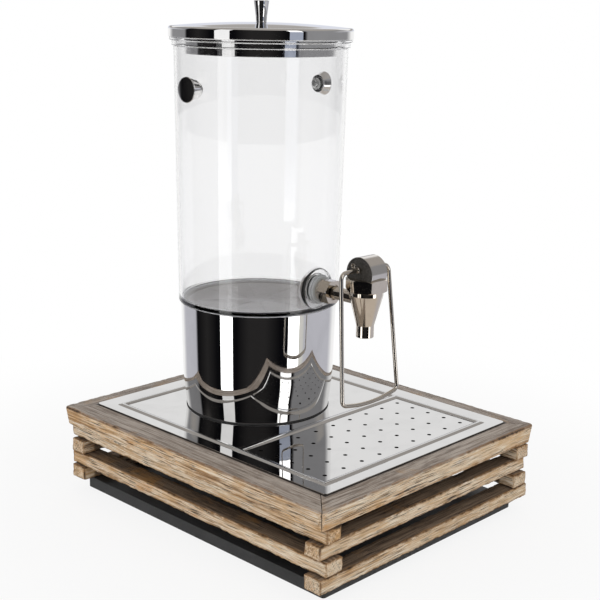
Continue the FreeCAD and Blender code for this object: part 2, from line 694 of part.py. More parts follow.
# Valve: stem with yoke, soft plug and spring

def valveStem():
    bar = block(tapX - yokeHalf, tapX + yokeHalf, yokeFront, yokeRear, yokeBottom, yokeTop)
    middle = leverZ + camZ
    window = block(tapX - 5, tapX + 5, windowFront, windowRear, middle - windowHalf, middle + windowHalf)
    stem = post(stemR, seatZ + 1.5, yokeBottom + 0.5, tapX, tapY)
    flange = post(stemFlangeR, stemFlange - 1.0, stemFlange, tapX, tapY)
    return bar.cut(window).fuse(stem).fuse(flange)


def valvePlug():
    top = stemFlange - 1.0
    nose = [(0, seatZ - 2), (2.2, seatZ - 2), (3.9, seatZ)]
    plug = turned(nose + [(plugR, seatZ), (plugR, top), (0, top)], tapX, tapY)
    return plug.cut(post(stemR, seatZ + 1.5, stemFlange, tapX, tapY))


def valveSpring():
    """Coil between the stem's flange and the bonnet."""
    wire, radius, turns = 0.45, 4.7, 5
    foot, top = stemFlange + 0.1 + wire, springTop - 0.1 - wire
    helix = Part.makeHelix((top - foot) / turns, top - foot, radius)
    ring = Part.Wire([Part.makeCircle(wire, V(radius, 0, 0), V(0, 1, 0))])
    coil = Part.Wire(helix.Edges).makePipeShell([ring], True, True)
    coil.translate(V(tapX, tapY, foot))
    return coil


# Lever

def leverPoint(across, down):
    """A place in the lever's plane, measured from the middle of its pivot line."""
    y = tapY - down * math.sin(leverTilt)
    return V(tapX + leverShift + across, y, leverZ - down * math.cos(leverTilt))


def bentWire(corners, bends, radius):
    """Round wire that follows a bent path, closed at its two ends."""
    path = Part.Wire(bentPath(corners, bends))
    ring = Part.Wire([Part.makeCircle(radius, corners[0], (corners[1] - corners[0]).normalize())])
    return path.makePipeShell([ring], True, False)


def leverBail():
    """Closed wire loop with a bowed foot; its two ends meet inside the head."""
    middle = leverPoint(0, 0)
    corners = [middle, leverPoint(-topHalf, 0), leverPoint(-footHalf, leverLong)]
    corners += [leverPoint(0, leverLong + footBow), leverPoint(footHalf, leverLong)]
    corners += [leverPoint(topHalf, 0), middle + V(0.02, 0, 0)]
    return bentWire(corners, [topBend, footBend, bowBend, footBend, topBend], wireR)


def leverCam():
    disc = pipeAlongX(camR, tapX - camHalf, tapX + camHalf, tapY + camY, leverZ + camZ)
    hub = pipeAlongX(camHubR, tapX - camHalf, tapX + camHalf, tapY, leverZ)
    return disc.fuse(hub).cut(pipeAlongX(wireR, tapX - 5, tapX + 5, tapY, leverZ))


def leverCollars():
    """Small turned collars that keep the wire from sliding in the head."""
    rings = []
    for side in (-1, 1):
        x0 = tapX + side * (headHalf + keepGap)
        x1 = tapX + side * (headHalf + keepGap + keepLong)
        ring = pipeAlongX(keepR, min(x0, x1), max(x0, x1), tapY, leverZ)
        rings.append(ring.cut(pipeAlongX(wireR, min(x0, x1) - 1, max(x0, x1) + 1, tapY, leverZ)))
    return group(rings)


def main():
    os.makedirs("parts", exist_ok=True)
    screwBores = group(stackBores(stackShankR + stackPlay, 0, stackTip + 0.5))
    for name, rail in frameRails().items():
        save(name, rail.cut(screwBores))
    for name, stick in battens().items():
        save(name, stick)
    save("plinth_board", plinthBoard())
    save("foot_pads", footPads())
    save("stack_screws", stackScrews())
    save("tray", tray())
    save("drip_grid", dripGrid())
    save("collar", collar())
    save("collar_seal", collarSeal())
    save("collar_screws", collarScrews())
    save("collar_nuts", collarNuts())
    save("cooling_pack", coolingPack())
    save("container", container())
    studs, screws, seals = studParts()
    for name, stud in studs.items():
        save(name, stud)
    save("stud_screws", screws)
    save("stud_seals", seals)
    save("lid_shell", lidShell())
    save("lid_base", lidBase())
    save("lid_knob", lidKnob())
    save("knob_screw", knobScrew())
    save("outer_gasket", outerGasket())
    save("outer_washer", outerWasher())
    save("tap_nut", tapNut())
    save("inner_gasket", innerGasket())
    save("lock_nut", lockNut())
    save("tap_body", tapBody())
    save("bonnet_gasket", bonnetGasket())
    save("tap_bonnet", tapBonnet())
    save("stem_seal", stemSeal())
    save("tap_head", tapHead())
    save("head_pins", headPins())
    save("valve_stem", valveStem())
    save("valve_plug", valvePlug())
    save("valve_spring", valveSpring())
    save("lever_bail", leverBail())
    save("lever_cam", leverCam())
    save("lever_collars", leverCollars())


main()
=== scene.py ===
import math
import bpy
import bmesh
from mathutils import Matrix, Vector, noise


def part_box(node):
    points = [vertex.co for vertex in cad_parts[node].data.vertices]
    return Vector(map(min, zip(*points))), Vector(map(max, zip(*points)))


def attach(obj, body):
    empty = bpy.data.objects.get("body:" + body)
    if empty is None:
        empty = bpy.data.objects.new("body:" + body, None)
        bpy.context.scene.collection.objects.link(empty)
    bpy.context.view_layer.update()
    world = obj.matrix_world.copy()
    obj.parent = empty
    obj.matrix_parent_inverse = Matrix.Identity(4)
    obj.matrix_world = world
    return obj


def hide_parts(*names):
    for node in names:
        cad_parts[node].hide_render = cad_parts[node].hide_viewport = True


# A juice dispenser: clear container, polished lid, collar and tray, lever tap, limed wooden base.
# Metres. The tap is in front, towards -Y, and +X is to the right of someone who faces it.

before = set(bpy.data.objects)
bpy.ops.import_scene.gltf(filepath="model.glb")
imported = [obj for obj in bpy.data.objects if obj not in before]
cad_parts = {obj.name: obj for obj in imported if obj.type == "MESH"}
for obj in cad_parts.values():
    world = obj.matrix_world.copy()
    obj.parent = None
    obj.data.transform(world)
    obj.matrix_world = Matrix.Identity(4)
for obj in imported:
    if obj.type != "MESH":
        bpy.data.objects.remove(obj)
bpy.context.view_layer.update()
scene = bpy.context.scene
mm = 0.001
print("frame loaded:", len(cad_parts), "nodes")

lidLow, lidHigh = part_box("lid_shell")
tubeAxis = Vector(((lidLow.x + lidHigh.x) / 2, (lidLow.y + lidHigh.y) / 2, 0))
plugLow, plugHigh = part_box("valve_plug")
tapAxis = Vector(((plugLow.x + plugHigh.x) / 2, (plugLow.y + plugHigh.y) / 2, 0))
nutLow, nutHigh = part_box("tap_nut")
pipeHeight = (nutLow.z + nutHigh.z) / 2
pipeLine = Vector((tapAxis.x, 0, pipeHeight))
up, across, inward = Vector((0, 0, 1)), Vector((1, 0, 0)), Vector((0, 1, 0))


# Mesh helpers

def rounded(outline, closed, arcSteps=5):
    # corners as (radius, height, rounding); each rounding becomes an arc
    points = []
    count = len(outline)
    for index, (radius, height, easing) in enumerate(outline):
        corner = Vector((radius, height))
        if easing == 0 or (not closed and index in (0, count - 1)):
            points.append(corner)
            continue
        back = (Vector(outline[index - 1][:2]) - corner).normalized()
        on = (Vector(outline[(index + 1) % count][:2]) - corner).normalized()
        half = back.angle(on) / 2
        centre = corner + (back + on).normalized() * (easing / math.sin(half))
        first = corner + back * (easing / math.tan(half)) - centre
        last = corner + on * (easing / math.tan(half)) - centre
        sweep = first.angle_signed(last)
        for step in range(arcSteps + 1):
            turn = Matrix.Rotation(-sweep * step / arcSteps, 2)
            points.append(centre + turn @ first)
    return points


def lathe(outline, origin, axis=up, steps=128, closed=False, arcSteps=5):
    # turns an outline about an axis; an open one starts and ends on the axis
    bm = bmesh.new()
    side = across if abs(axis.x) < 0.5 else inward
    points = rounded(outline, closed, arcSteps)
    verts = [bm.verts.new(origin + side * point.x + axis * point.y) for point in points]
    edges = [bm.edges.new(pair) for pair in zip(verts, verts[1:])]
    if closed:
        edges.append(bm.edges.new((verts[-1], verts[0])))
    bmesh.ops.spin(bm, geom=verts + edges, cent=origin, axis=axis, angle=2 * math.pi, steps=steps,
                   use_merge=True)
    bmesh.ops.remove_doubles(bm, verts=bm.verts, dist=1e-6)
    bmesh.ops.recalc_face_normals(bm, faces=bm.faces)
    return bm


def rod(radius, start, end, steps=48):
    bm = bmesh.new()
    span = Vector(end) - Vector(start)
    bmesh.ops.create_cone(bm, cap_ends=True, segments=steps, radius1=radius, radius2=radius,
                          depth=span.length)
    turn = span.to_track_quat("Z", "Y").to_matrix().to_4x4()
    middle = (Vector(start) + Vector(end)) / 2
    bmesh.ops.transform(bm, matrix=Matrix.Translation(middle) @ turn, verts=bm.verts)
    return bm


def brick(low, high):
    bm = bmesh.new()
    bmesh.ops.create_cube(bm, size=1.0)
    bmesh.ops.scale(bm, vec=Vector(high) - Vector(low), verts=bm.verts)
    bmesh.ops.translate(bm, vec=(Vector(low) + Vector(high)) / 2, verts=bm.verts)
    return bm


def hexBar(flat, start, end, turn):
    # hexagonal bar along Z or Y, with one corner at the given turn in degrees from +X
    bm = bmesh.new()
    span = Vector(end) - Vector(start)
    radius = flat / math.sqrt(3)
    bmesh.ops.create_cone(bm, cap_ends=True, segments=6, radius1=radius, radius2=radius, depth=span.length)
    corner = Matrix.Rotation(math.radians(turn + 30), 3, "Z")
    bmesh.ops.rotate(bm, cent=(0, 0, 0), matrix=corner, verts=bm.verts)
    upright = abs(span.z) > 0.5 * span.length
    lay = Matrix.Identity(4) if upright else Matrix.Rotation(math.radians(-90), 4, "X")
    middle = (Vector(start) + Vector(end)) / 2
    bmesh.ops.transform(bm, matrix=Matrix.Translation(middle) @ lay, verts=bm.verts)
    return bm


def looseObject(bm):
    mesh = bpy.data.meshes.new("loose")
    bmesh.ops.recalc_face_normals(bm, faces=bm.faces)
    bm.to_mesh(mesh)
    bm.free()
    made = bpy.data.objects.new("loose", mesh)
    scene.collection.objects.link(made)
    return made


def combine(bm, operation, *tools):
    # Boolean of a mesh with each tool in turn; the tools are used up
    body = looseObject(bm)
    parts = [looseObject(tool) for tool in tools]
    for part in parts:
        cut = body.modifiers.new("cut", "BOOLEAN")
        cut.operation = operation
        cut.solver = "EXACT"
        cut.object = part
    graph = bpy.context.evaluated_depsgraph_get()
    mesh = bpy.data.meshes.new_from_object(body.evaluated_get(graph))
    result = bmesh.new()
    result.from_mesh(mesh)
    bpy.data.meshes.remove(mesh)
    for item in [body] + parts:
        data = item.data
        bpy.data.objects.remove(item)
        bpy.data.meshes.remove(data)
    bmesh.ops.remove_doubles(result, verts=result.verts, dist=2e-6)
    return result


def bevel(bm, geometry, offset, segments=2, affect="EDGES", clamp=False):
    bmesh.ops.bevel(bm, geom=geometry, offset=offset, offset_type="OFFSET", affect=affect, segments=segments,
                    profile=0.5, material=-1, clamp_overlap=clamp)


def uprights(bm, tall):
    # edges that rise by more than the given height
    return [edge for edge in bm.edges if abs(edge.verts[0].co.z - edge.verts[1].co.z) > tall]


def easeEdges(bm, degrees, offset, segments=2):
    # breaks every edge sharper than the given angle
    limit = math.radians(degrees)
    sharp = [edge for edge in bm.edges if len(edge.link_faces) == 2 and edge.calc_face_angle(0) > limit]
    bevel(bm, sharp, offset, segments, clamp=True)


def trim(bm, spot, away):
    # cuts off what lies beyond a plane and closes the cut
    geometry = bm.verts[:] + bm.edges[:] + bm.faces[:]
    cut = bmesh.ops.bisect_plane(bm, geom=geometry, plane_co=spot, plane_no=away, clear_outer=True)
    rim = [item for item in cut["geom_cut"] if isinstance(item, bmesh.types.BMEdge)]
    bmesh.ops.holes_fill(bm, edges=rim, sides=0)


def join(bm, *others):
    # adds other meshes to a mesh as separate shells
    for other in others:
        mesh = bpy.data.meshes.new("loose")
        other.to_mesh(mesh)
        other.free()
        bm.from_mesh(mesh)
        bpy.data.meshes.remove(mesh)
    return bm


def flatShading(piece):
    # the large faces keep their own normals, so that reflections bend only at the roundings
    facing = piece.modifiers.new("facing", "WEIGHTED_NORMAL")
    facing.mode = "FACE_AREA"
    facing.keep_sharp = True


def finishPiece(bm, name, material, body, nodes, sharp=35, recalc=True, flat=True):
    # makes the object, shades it, ties it to its body, and hides the CAD nodes that it stands for
    if recalc:
        bmesh.ops.recalc_face_normals(bm, faces=bm.faces)
    limit = math.radians(sharp)
    for face in bm.faces:
        face.smooth = True
    for edge in bm.edges:
        edge.smooth = len(edge.link_faces) == 2 and edge.calc_face_angle(0) < limit
    mesh = bpy.data.meshes.new(name)
    bm.to_mesh(mesh)
    bm.free()
    piece = bpy.data.objects.new(name, mesh)
    scene.collection.objects.link(piece)
    mesh.materials.append(material)
    if flat:
        flatShading(piece)
    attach(piece, body)
    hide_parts(*nodes)
    return piece


# Shader helpers

def fill(tree, node, values):
    # sets the inputs of a node, or links them where the value comes from another node
    for key, value in values.items():
        socket = node.inputs[key]
        if isinstance(value, Field):
            tree.links.new(value.socket, socket)
        elif socket.type == "RGBA" and len(value) == 3:
            socket.default_value = (*value, 1)
        else:
            socket.default_value = value


def addNode(tree, kind, settings=None, values=None):
    made = tree.nodes.new(kind)
    made.location = (220 * (len(tree.nodes) % 9), -260 * (len(tree.nodes) // 9))
    for key, value in (settings or {}).items():
        setattr(made, key, value)
    fill(tree, made, values or {})
    return made


def newField(tree, kind, settings=None, values=None, output=0):
    return Field(tree, addNode(tree, kind, settings, values).outputs[output])


class Field:
    # a value in a node tree; sums with it add the nodes that work them out

    def __init__(self, tree, socket):
        self.tree = tree
        self.socket = socket

    def calc(self, operation, *values, clamp=False):
        settings = {"operation": operation, "use_clamp": clamp}
        return newField(self.tree, "ShaderNodeMath", settings, dict(enumerate(values)))

    def __add__(self, other):
        return self.calc("ADD", self, other)

    def __sub__(self, other):
        return self.calc("SUBTRACT", self, other)

    def __rsub__(self, other):
        return self.calc("SUBTRACT", other, self)

    def __mul__(self, other):
        return self.calc("MULTIPLY", self, other)

    def __truediv__(self, other):
        return self.calc("DIVIDE", self, other)

    def __abs__(self):
        return self.calc("ABSOLUTE", self)

    def atLeast(self, other):
        return self.calc("MAXIMUM", self, other)

    def atMost(self, other):
        return self.calc("MINIMUM", self, other)

    def step(self, low, high, toLow=0.0, toHigh=1.0):
        # smooth step from low to high
        values = {"Value": self, "From Min": low, "From Max": high, "To Min": toLow, "To Max": toHigh}
        return newField(self.tree, "ShaderNodeMapRange", {"interpolation_type": "SMOOTHSTEP"}, values)

    def blend(self, first, second):
        return newField(self.tree, "ShaderNodeMix", {"data_type": "RGBA"}, {0: self, 6: first, 7: second}, 2)

    def cloud(self, scale, detail=4.0, roughness=0.55, distortion=0.0):
        values = {"Vector": self, "Scale": scale, "Detail": detail, "Roughness": roughness,
                  "Distortion": distortion}
        return newField(self.tree, "ShaderNodeTexNoise", None, values)

    def vector(self, operation, other=(0, 0, 0)):
        return newField(self.tree, "ShaderNodeVectorMath", {"operation": operation}, {0: self, 1: other})

    def length(self):
        return newField(self.tree, "ShaderNodeVectorMath", {"operation": "LENGTH"}, {0: self}, "Value")

    def split(self):
        parts = addNode(self.tree, "ShaderNodeSeparateXYZ", None, {0: self}).outputs
        return [Field(self.tree, part) for part in parts]


def newGroup(name, inputs, outputs):
    tree = bpy.data.node_groups.new(name, "ShaderNodeTree")
    for label, value in inputs.items():
        kind = "NodeSocketVector" if isinstance(value, tuple) else "NodeSocketFloat"
        tree.interface.new_socket(name=label, in_out="INPUT", socket_type=kind).default_value = value
    for label in outputs:
        kind = "NodeSocketColor" if label == "Color" else "NodeSocketFloat"
        tree.interface.new_socket(name=label, in_out="OUTPUT", socket_type=kind)
    start, end = tree.nodes.new("NodeGroupInput"), tree.nodes.new("NodeGroupOutput")
    return tree, [Field(tree, start.outputs[label]) for label in inputs], end


def fieldsOf(tree, node):
    return {socket.name: Field(tree, socket) for socket in node.outputs}


def placeGroup(tree, group, values):
    return fieldsOf(tree, addNode(tree, "ShaderNodeGroup", {"node_tree": group}, values))


def objectPlace(tree):
    return newField(tree, "ShaderNodeTexCoord", output="Object")


def newMaterial(name):
    material = bpy.data.materials.new(name)
    material.use_nodes = True
    tree = material.node_tree
    return material, tree, tree.nodes["Principled BSDF"], objectPlace(tree)


def addBump(tree, shader, height, strength, distance):
    values = {"Height": height, "Strength": strength, "Distance": distance}
    fill(tree, shader, {"Normal": newField(tree, "ShaderNodeBump", None, values, "Normal")})


# Shared surface effects

def makeEdgeGroup():
    # distance in millimetres to the nearest edge of a box
    inputs = {"Place": (0, 0, 0), "Centre": (0, 0, 0), "Half": (1, 1, 1)}
    tree, (place, centre, half), end = newGroup("boxEdge", inputs, ["Distance"])
    offset = place.vector("SUBTRACT", centre).vector("ABSOLUTE")
    x, y, z = half.vector("SUBTRACT", offset).split()
    low, high = x.atMost(y), x.atLeast(y)
    middle = low.atLeast(high.atMost(z))
    fill(tree, end, {"Distance": middle * 1000.0})
    return tree


woodTones = {
    "brownDark": (0.27, 0.135, 0.05), "brownLight": (0.70, 0.42, 0.185), "brownBroad": (0.78, 0.52, 0.27),
    "limeThin": (0.64, 0.47, 0.31), "limeThick": (0.94, 0.84, 0.68), "worn": (0.56, 0.27, 0.075),
    "chalk": (0.90, 0.87, 0.82),
    "bareDark": (0.135, 0.088, 0.055), "bareLight": (0.30, 0.215, 0.145), "bareWorn": (0.37, 0.20, 0.075),
    "waxDark": (0.205, 0.155, 0.12), "waxLight": (0.48, 0.41, 0.35), "waxPale": (0.56, 0.50, 0.44),
    "waxWorn": (0.42, 0.26, 0.13),
    "pore": (0.035, 0.026, 0.02), "rubbed": (0.33, 0.165, 0.055), "burnt": (0.028, 0.02, 0.016),
    # near-black tone of the painted shadow along the tray's edge
    "edgeShadow": (0.012, 0.010, 0.009),
}


def makeWoodGroup():
    # brushed softwood, stained brown, rubbed with white lime, with dark open grain
    tones = woodTones
    inputs = {"Grain": (0, 0, 0), "Place": (0, 0, 0), "Edge": 10.0, "Lime": 1.0, "Grey": 0.0}
    outputs = ["Color", "Roughness", "Height"]
    tree, (grain, place, edge, lime, grey), end = newGroup("limedWood", inputs, outputs)
    broad = grain.cloud(0.075, 3.0, 0.5, 0.6)
    streak = grain.cloud(0.42, 5.0, 0.62, 0.4)
    fibre = grain.cloud(1.5, 4.0, 0.6, 0.2)
    patch = place.cloud(22.0, 4.0, 0.6, 0.3)
    dents = place.cloud(140.0, 5.0, 0.6)

    # the brown under the lime
    brown = streak.step(0.34, 0.60).blend(tones["brownDark"], tones["brownLight"])
    brown = broad.step(0.42, 0.66).blend(brown, tones["brownBroad"])
    # lime that the brush left in the low grain
    cover = streak * 0.55 + broad * 0.55 + (patch - 0.5) * 0.55 + (fibre - 0.5) * 0.35
    cover = cover.step(0.38, 0.66, 0.05, 0.90)
    limeTone = fibre.step(0.36, 0.66).blend(tones["limeThin"], tones["limeThick"])
    limed = (cover * lime).blend(brown, limeTone)
    # rubbed through to the orange stain here and there
    worn = patch.step(0.54, 0.72) * streak.step(0.40, 0.56)
    limed = (worn * 0.75).blend(limed, tones["worn"])
    chalk = grain.cloud(0.8, 3.0, 0.6, 0.2).step(0.60, 0.68) * cover
    limed = (chalk * 0.7).blend(limed, tones["chalk"])
    # bare inner faces: darker and greyer
    bare = streak.step(0.35, 0.65).blend(tones["bareDark"], tones["bareLight"])
    bare = patch.step(0.55, 0.72).blend(bare, tones["bareWorn"])
    # waxed grey-brown top
    wax = streak.step(0.36, 0.66).blend(tones["waxDark"], tones["waxLight"])
    wax = fibre.step(0.52, 0.72).blend(wax, tones["waxPale"])
    wax = patch.step(0.58, 0.78).blend(wax, tones["waxWorn"])
    colour = grey.blend(lime.blend(bare, limed), wax)
    # dark open grain in thin long lines
    line = grain.cloud(1.15, 2.0, 0.5, 0.5).step(0.560, 0.630)
    line = line * patch.step(0.36, 0.58, 0.30, 1.0) * (1.0 - grey * 0.45)
    colour = (line * 0.88).blend(colour, tones["pore"])
    # edges: rubbed to warm brown, with a dark line at the very corner
    ragged = edge + (dents - 0.5) * 5.0 + (patch - 0.5) * 7.0
    colour = ((1.0 - ragged.step(0.6, 3.0)) * 0.72).blend(colour, tones["rubbed"])
    colour = ((1.0 - ragged.step(-0.2, 1.5)) * 0.85).blend(colour, tones["burnt"])
    rough = 0.82 - grey * 0.30 + (fibre - 0.5) * 0.25
    relief = fibre * 0.35 + streak * 0.6 - line * 0.9
    fill(tree, end, {"Color": colour, "Roughness": rough, "Height": relief})
    return tree


def makeTouchGroup():
    # what handling leaves on polished metal: soft smudges, hairlines and a faint waviness
    inputs = {"Place": (0, 0, 0), "Base": 0.03, "Spread": 0.03}
    tree, (place, base, spread), end = newGroup("metalTouch", inputs, ["Roughness", "Shade", "Height"])
    smudge = place.cloud(28.0, 4.0, 0.6, 0.8)
    haze = place.cloud(210.0, 3.0, 0.6)
    hair = place.vector("MULTIPLY", (1.0, 24.0, 24.0)).cloud(150.0, 3.0, 0.7)
    rough = base + (smudge.step(0.45, 0.75) * spread + haze.step(0.5, 0.8) * (spread * 0.6))
    height = place.cloud(14.0, 1.0, 0.4) + hair * 0.002
    fill(tree, end, {"Roughness": rough, "Shade": smudge.step(0.3, 0.8, 1.0, 0.95), "Height": height})
    return tree


def makeSkinGroup():
    # moulded or painted skin: fine orange peel, soft blotches and settled dust
    inputs = {"Place": (0, 0, 0), "Scale": 1.0, "Base": 0.4}
    tree, (place, scale, base), end = newGroup("mouldedSkin", inputs, ["Roughness", "Shade", "Height"])
    scaled = newField(tree, "ShaderNodeVectorMath", {"operation": "SCALE"}, {0: place, "Scale": scale})
    blotch = scaled.cloud(60.0, 4.0, 0.6)
    peel = scaled.cloud(900.0, 3.0, 0.6)
    rough = base + (blotch - 0.5) * 0.18
    fill(tree, end, {"Roughness": rough, "Shade": blotch.step(0.3, 0.75), "Height": peel})
    return tree


edgeGroup = makeEdgeGroup()
woodGroup = makeWoodGroup()
touchGroup = makeTouchGroup()
skinGroup = makeSkinGroup()


# Materials

def touchedSteel(tree, place, colour, dark, base, spread):
    # colour with its smudges, and what else the touch of hands gives
    touch = placeGroup(tree, touchGroup, {"Place": place, "Base": base, "Spread": spread})
    deep = tuple(part * dark for part in colour)
    return touch["Shade"].step(0.95, 1.0).blend(deep, colour), touch


def polishedMetal(name, colour, base, spread, bump=0.0006, dark=0.94):
    material, tree, shader, place = newMaterial(name)
    tone, touch = touchedSteel(tree, place, colour, dark, base, spread)
    fill(tree, shader, {"Base Color": tone, "Roughness": touch["Roughness"], "Metallic": 1.0})
    addBump(tree, shader, touch["Height"], 0.5, bump)
    return material


def skin(name, colour, second, base, scale, strength=0.2, distance=0.0002):
    material, tree, shader, place = newMaterial(name)
    look = placeGroup(tree, skinGroup, {"Place": place, "Base": base, "Scale": scale})
    fill(tree, shader, {"Base Color": look["Shade"].blend(colour, second), "Roughness": look["Roughness"]})
    addBump(tree, shader, look["Height"], strength, distance)
    return material


# radii and heights between which the tube's turned edges are matt
rimForm = {
    "foot": (78.5 * mm, 80.0 * mm), "footTop": (203.2 * mm, 206.4 * mm),
    "bossIn": (18.4 * mm, 19.4 * mm), "bossOut": (20.3 * mm, 21.0 * mm), "bossFace": (-20.0 * mm, -19.0 * mm),
}


def mattRims(place):
    # the turned edges of the tube's foot and of the boss round the tap
    form = rimForm
    reach = place.vector("SUBTRACT", tuple(tubeAxis)).vector("MULTIPLY", (1, 1, 0)).length()
    foot = reach.step(*form["foot"]) * place.split()[2].step(*form["footTop"], 1.0, 0.0)
    reach = place.vector("SUBTRACT", tuple(pipeLine)).vector("MULTIPLY", (1, 0, 1)).length()
    boss = reach.step(*form["bossIn"]) * reach.step(*form["bossOut"], 1.0, 0.0)
    boss = boss * place.split()[1].step(*form["bossFace"], 1.0, 0.0)
    return foot.atLeast(boss)


def clearPlastic(name, tint, rough, index, waves, clear=1.0, matt=0.0):
    # solid clear plastic: slight flow lines from the mould, faint wear on the polish
    material, tree, shader, place = newMaterial(name)
    blur = place.cloud(35.0, 4.0, 0.65).step(0.5, 0.85, rough, rough + 0.03)
    if matt:
        blur = blur + mattRims(place) * matt
    fill(tree, shader, {"Base Color": tint, "Transmission Weight": clear, "IOR": index, "Roughness": blur})
    flow = place.vector("MULTIPLY", (1.0, 1.0, 0.12)).cloud(30.0, 1.0, 0.4)
    addBump(tree, shader, flow, 0.4, waves)
    return material


def trayEdgeShadow(spot):
    # painted shadow: a dark line on the wood along the tray's edge, standing in for the flange's contact shadow
    low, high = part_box("tray")
    centre, half = (low + high) / 2, (high - low) / 2
    gaps = [abs(spot[axis] - centre[axis]) - half[axis] for axis in range(2)]
    return gaps[0].atLeast(gaps[1]).step(0.6 * mm, 2.2 * mm, 0.93, 0.0)


def woodMaterial(name, axis, low, high, shift, railTop=None):
    # axis is the grain's direction; shift moves the pattern so that no two pieces match
    material, tree, shader, place = newMaterial(name)
    stretch = Vector((1000, 1000, 1000))
    stretch[axis] = 1000 / grainLook["stretch"]
    moved = place.vector("ADD", (shift, shift * 1.7, shift * 0.6))
    centre, half = (low + high) / 2, (high - low) / 2
    box = {"Place": place, "Centre": tuple(centre), "Half": tuple(half)}
    edge = placeGroup(tree, edgeGroup, box)["Distance"]
    spot = place.split()
    level = abs(newField(tree, "ShaderNodeTexCoord", output="Normal").split()[2]).step(0.55, 0.9)
    depth = (stackHalf.x - abs(spot[0])).atMost(stackHalf.y - abs(spot[1]))
    outside = depth.step(grainLook["limeDepth"], grainLook["limeDepth"] + grainLook["limeFade"], 1.0, 0.0)
    grey = spot[2].step(railTop - 2.8 * mm, railTop - 1.2 * mm) if railTop else 0.0
    values = {"Grain": moved.vector("MULTIPLY", tuple(stretch)), "Place": moved, "Edge": edge,
              "Lime": outside * (1.0 - level), "Grey": grey}
    look = placeGroup(tree, woodGroup, values)
    tone = look["Color"]
    if railTop:
        # painted shadow: the wood darkens to near black against the tray's edge
        tone = trayEdgeShadow(spot).blend(tone, woodTones["edgeShadow"])
    fill(tree, shader, {"Base Color": tone, "Roughness": look["Roughness"], "Specular IOR Level": 0.35})
    addBump(tree, shader, look["Height"], grainLook["bump"], 0.0007)
    return material


stackLow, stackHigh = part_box("frame_rail_left")
railTop = stackHigh.z
stackHalf = Vector((-stackLow.x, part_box("frame_rail_front")[0].y * -1, 0))
grainLook = {"stretch": 27.0, "limeDepth": 16 * mm, "limeFade": 4 * mm, "bump": 0.55}

mirrorSteel = polishedMetal("mirrorSteel", (0.80, 0.795, 0.79), 0.018, 0.035, 0.0004)
traySteel = polishedMetal("traySteel", (0.665, 0.66, 0.655), 0.02, 0.05, 0.0005)
nickel = polishedMetal("nickel", (0.74, 0.675, 0.59), 0.07, 0.06, 0.0005, 0.88)
chrome = polishedMetal("chrome", (0.80, 0.79, 0.78), 0.035, 0.04)
wireSteel = polishedMetal("wireSteel", (0.69, 0.635, 0.565), 0.10, 0.08, 0.0003, 0.88)
zinc = polishedMetal("zinc", (0.58, 0.58, 0.57), 0.28, 0.15)
springSteel = polishedMetal("springSteel", (0.45, 0.45, 0.46), 0.25, 0.10)
clearTube = clearPlastic("clearTube", (0.968, 0.968, 0.970), 0.0, 1.49, 0.0002, matt=0.45)
clearWasher = clearPlastic("clearWasher", (0.93, 0.94, 0.95), 0.08, 1.42, 0.0003, 0.55)
silicone = skin("silicone", (0.74, 0.74, 0.72), (0.66, 0.66, 0.65), 0.38, 1.0)
blackRubber = skin("blackRubber", (0.022, 0.022, 0.023), (0.04, 0.04, 0.041), 0.62, 1.0, 0.35)
packPlastic = skin("packPlastic", (0.82, 0.80, 0.88), (0.87, 0.85, 0.93), 0.42, 0.6, 0.25)
blackBoard = skin("blackBoard", (0.026, 0.026, 0.027), (0.045, 0.045, 0.046), 0.46, 0.5, 0.4, 0.0004)
print("materials ready")


def castHead():
    # polished round the outside, left as cast on the two end faces
    material, tree, shader, place = newMaterial("castHead")
    headLow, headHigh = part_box("tap_head")
    half = (headHigh.x - headLow.x) / 2
    rough = abs(place.split()[0] - tapAxis.x).step(half - 0.5 * mm, half - 0.2 * mm)
    touch = placeGroup(tree, touchGroup, {"Place": place, "Base": 0.07, "Spread": 0.06})
    grit = place.cloud(1500.0, 4.0, 0.65)
    raw = grit.step(0.35, 0.7).blend((0.10, 0.095, 0.088), (0.30, 0.285, 0.265))
    fill(tree, shader, {"Base Color": rough.blend((0.72, 0.69, 0.66), raw), "Metallic": 1.0,
                        "Roughness": touch["Roughness"] + rough * 0.38})
    addBump(tree, shader, grit * rough, 0.8, 0.0003)
    return material


# Wooden base

woodForm = {"step": 1.9 * mm, "ease": 1.3 * mm, "seam": 0.12 * mm}


def divide(bm, step):
    # cuts the long straight edges along each axis into even steps
    for axis in range(3):
        spans = []
        for edge in bm.edges:
            span = edge.verts[1].co - edge.verts[0].co
            if span.length > 2.5 * step and abs(span[axis]) > 0.97 * span.length:
                spans.append(edge)
        if spans:
            longest = max(edge.calc_length() for edge in spans)
            bmesh.ops.subdivide_edges(bm, edges=spans, cuts=int(longest / step), use_grid_fill=True)


def weather(bm, low, high, axis, shift):
    # pushes the surface in by the grain, long hollows and knocks along the edges, never out
    bm.normal_update()
    start = Vector((shift * 31.0, shift * 17.0, shift * 7.0))
    moves = []
    for vert in bm.verts:
        spot = vert.co / mm
        long = Vector(spot)
        long[axis] /= 14.0
        hollow = noise.noise(long * 0.10 + start)
        fibre = noise.noise(long * 0.62 + start)
        knock = noise.noise(spot * 0.11 + start)
        chip = noise.noise(spot * 0.33 + start)
        depth = sorted(min(vert.co[i] - low[i], high[i] - vert.co[i]) / mm for i in range(3))[1]
        corner = max(0.0, 1.0 - depth / 3.2)
        push = 0.16 * (1 + hollow) + 0.15 * (1 + fibre)
        push += corner * (max(0.0, knock) * 1.5 + max(0.0, chip) * 1.1)
        moves.append((vert, vert.normal * (-push * mm)))
    for vert, move in moves:
        vert.co += move


def batten(name, node, axis, shift):
    low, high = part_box(node)
    seam = Vector((woodForm["seam"],) * 3)
    bm = brick(low + seam, high - seam)
    bevel(bm, bm.edges[:], woodForm["ease"])
    divide(bm, woodForm["step"])
    weather(bm, low, high, axis, shift)
    material = woodMaterial(name + "Wood", axis, low, high, shift)
    finishPiece(bm, name, material, "base", [node], sharp=50, flat=False)


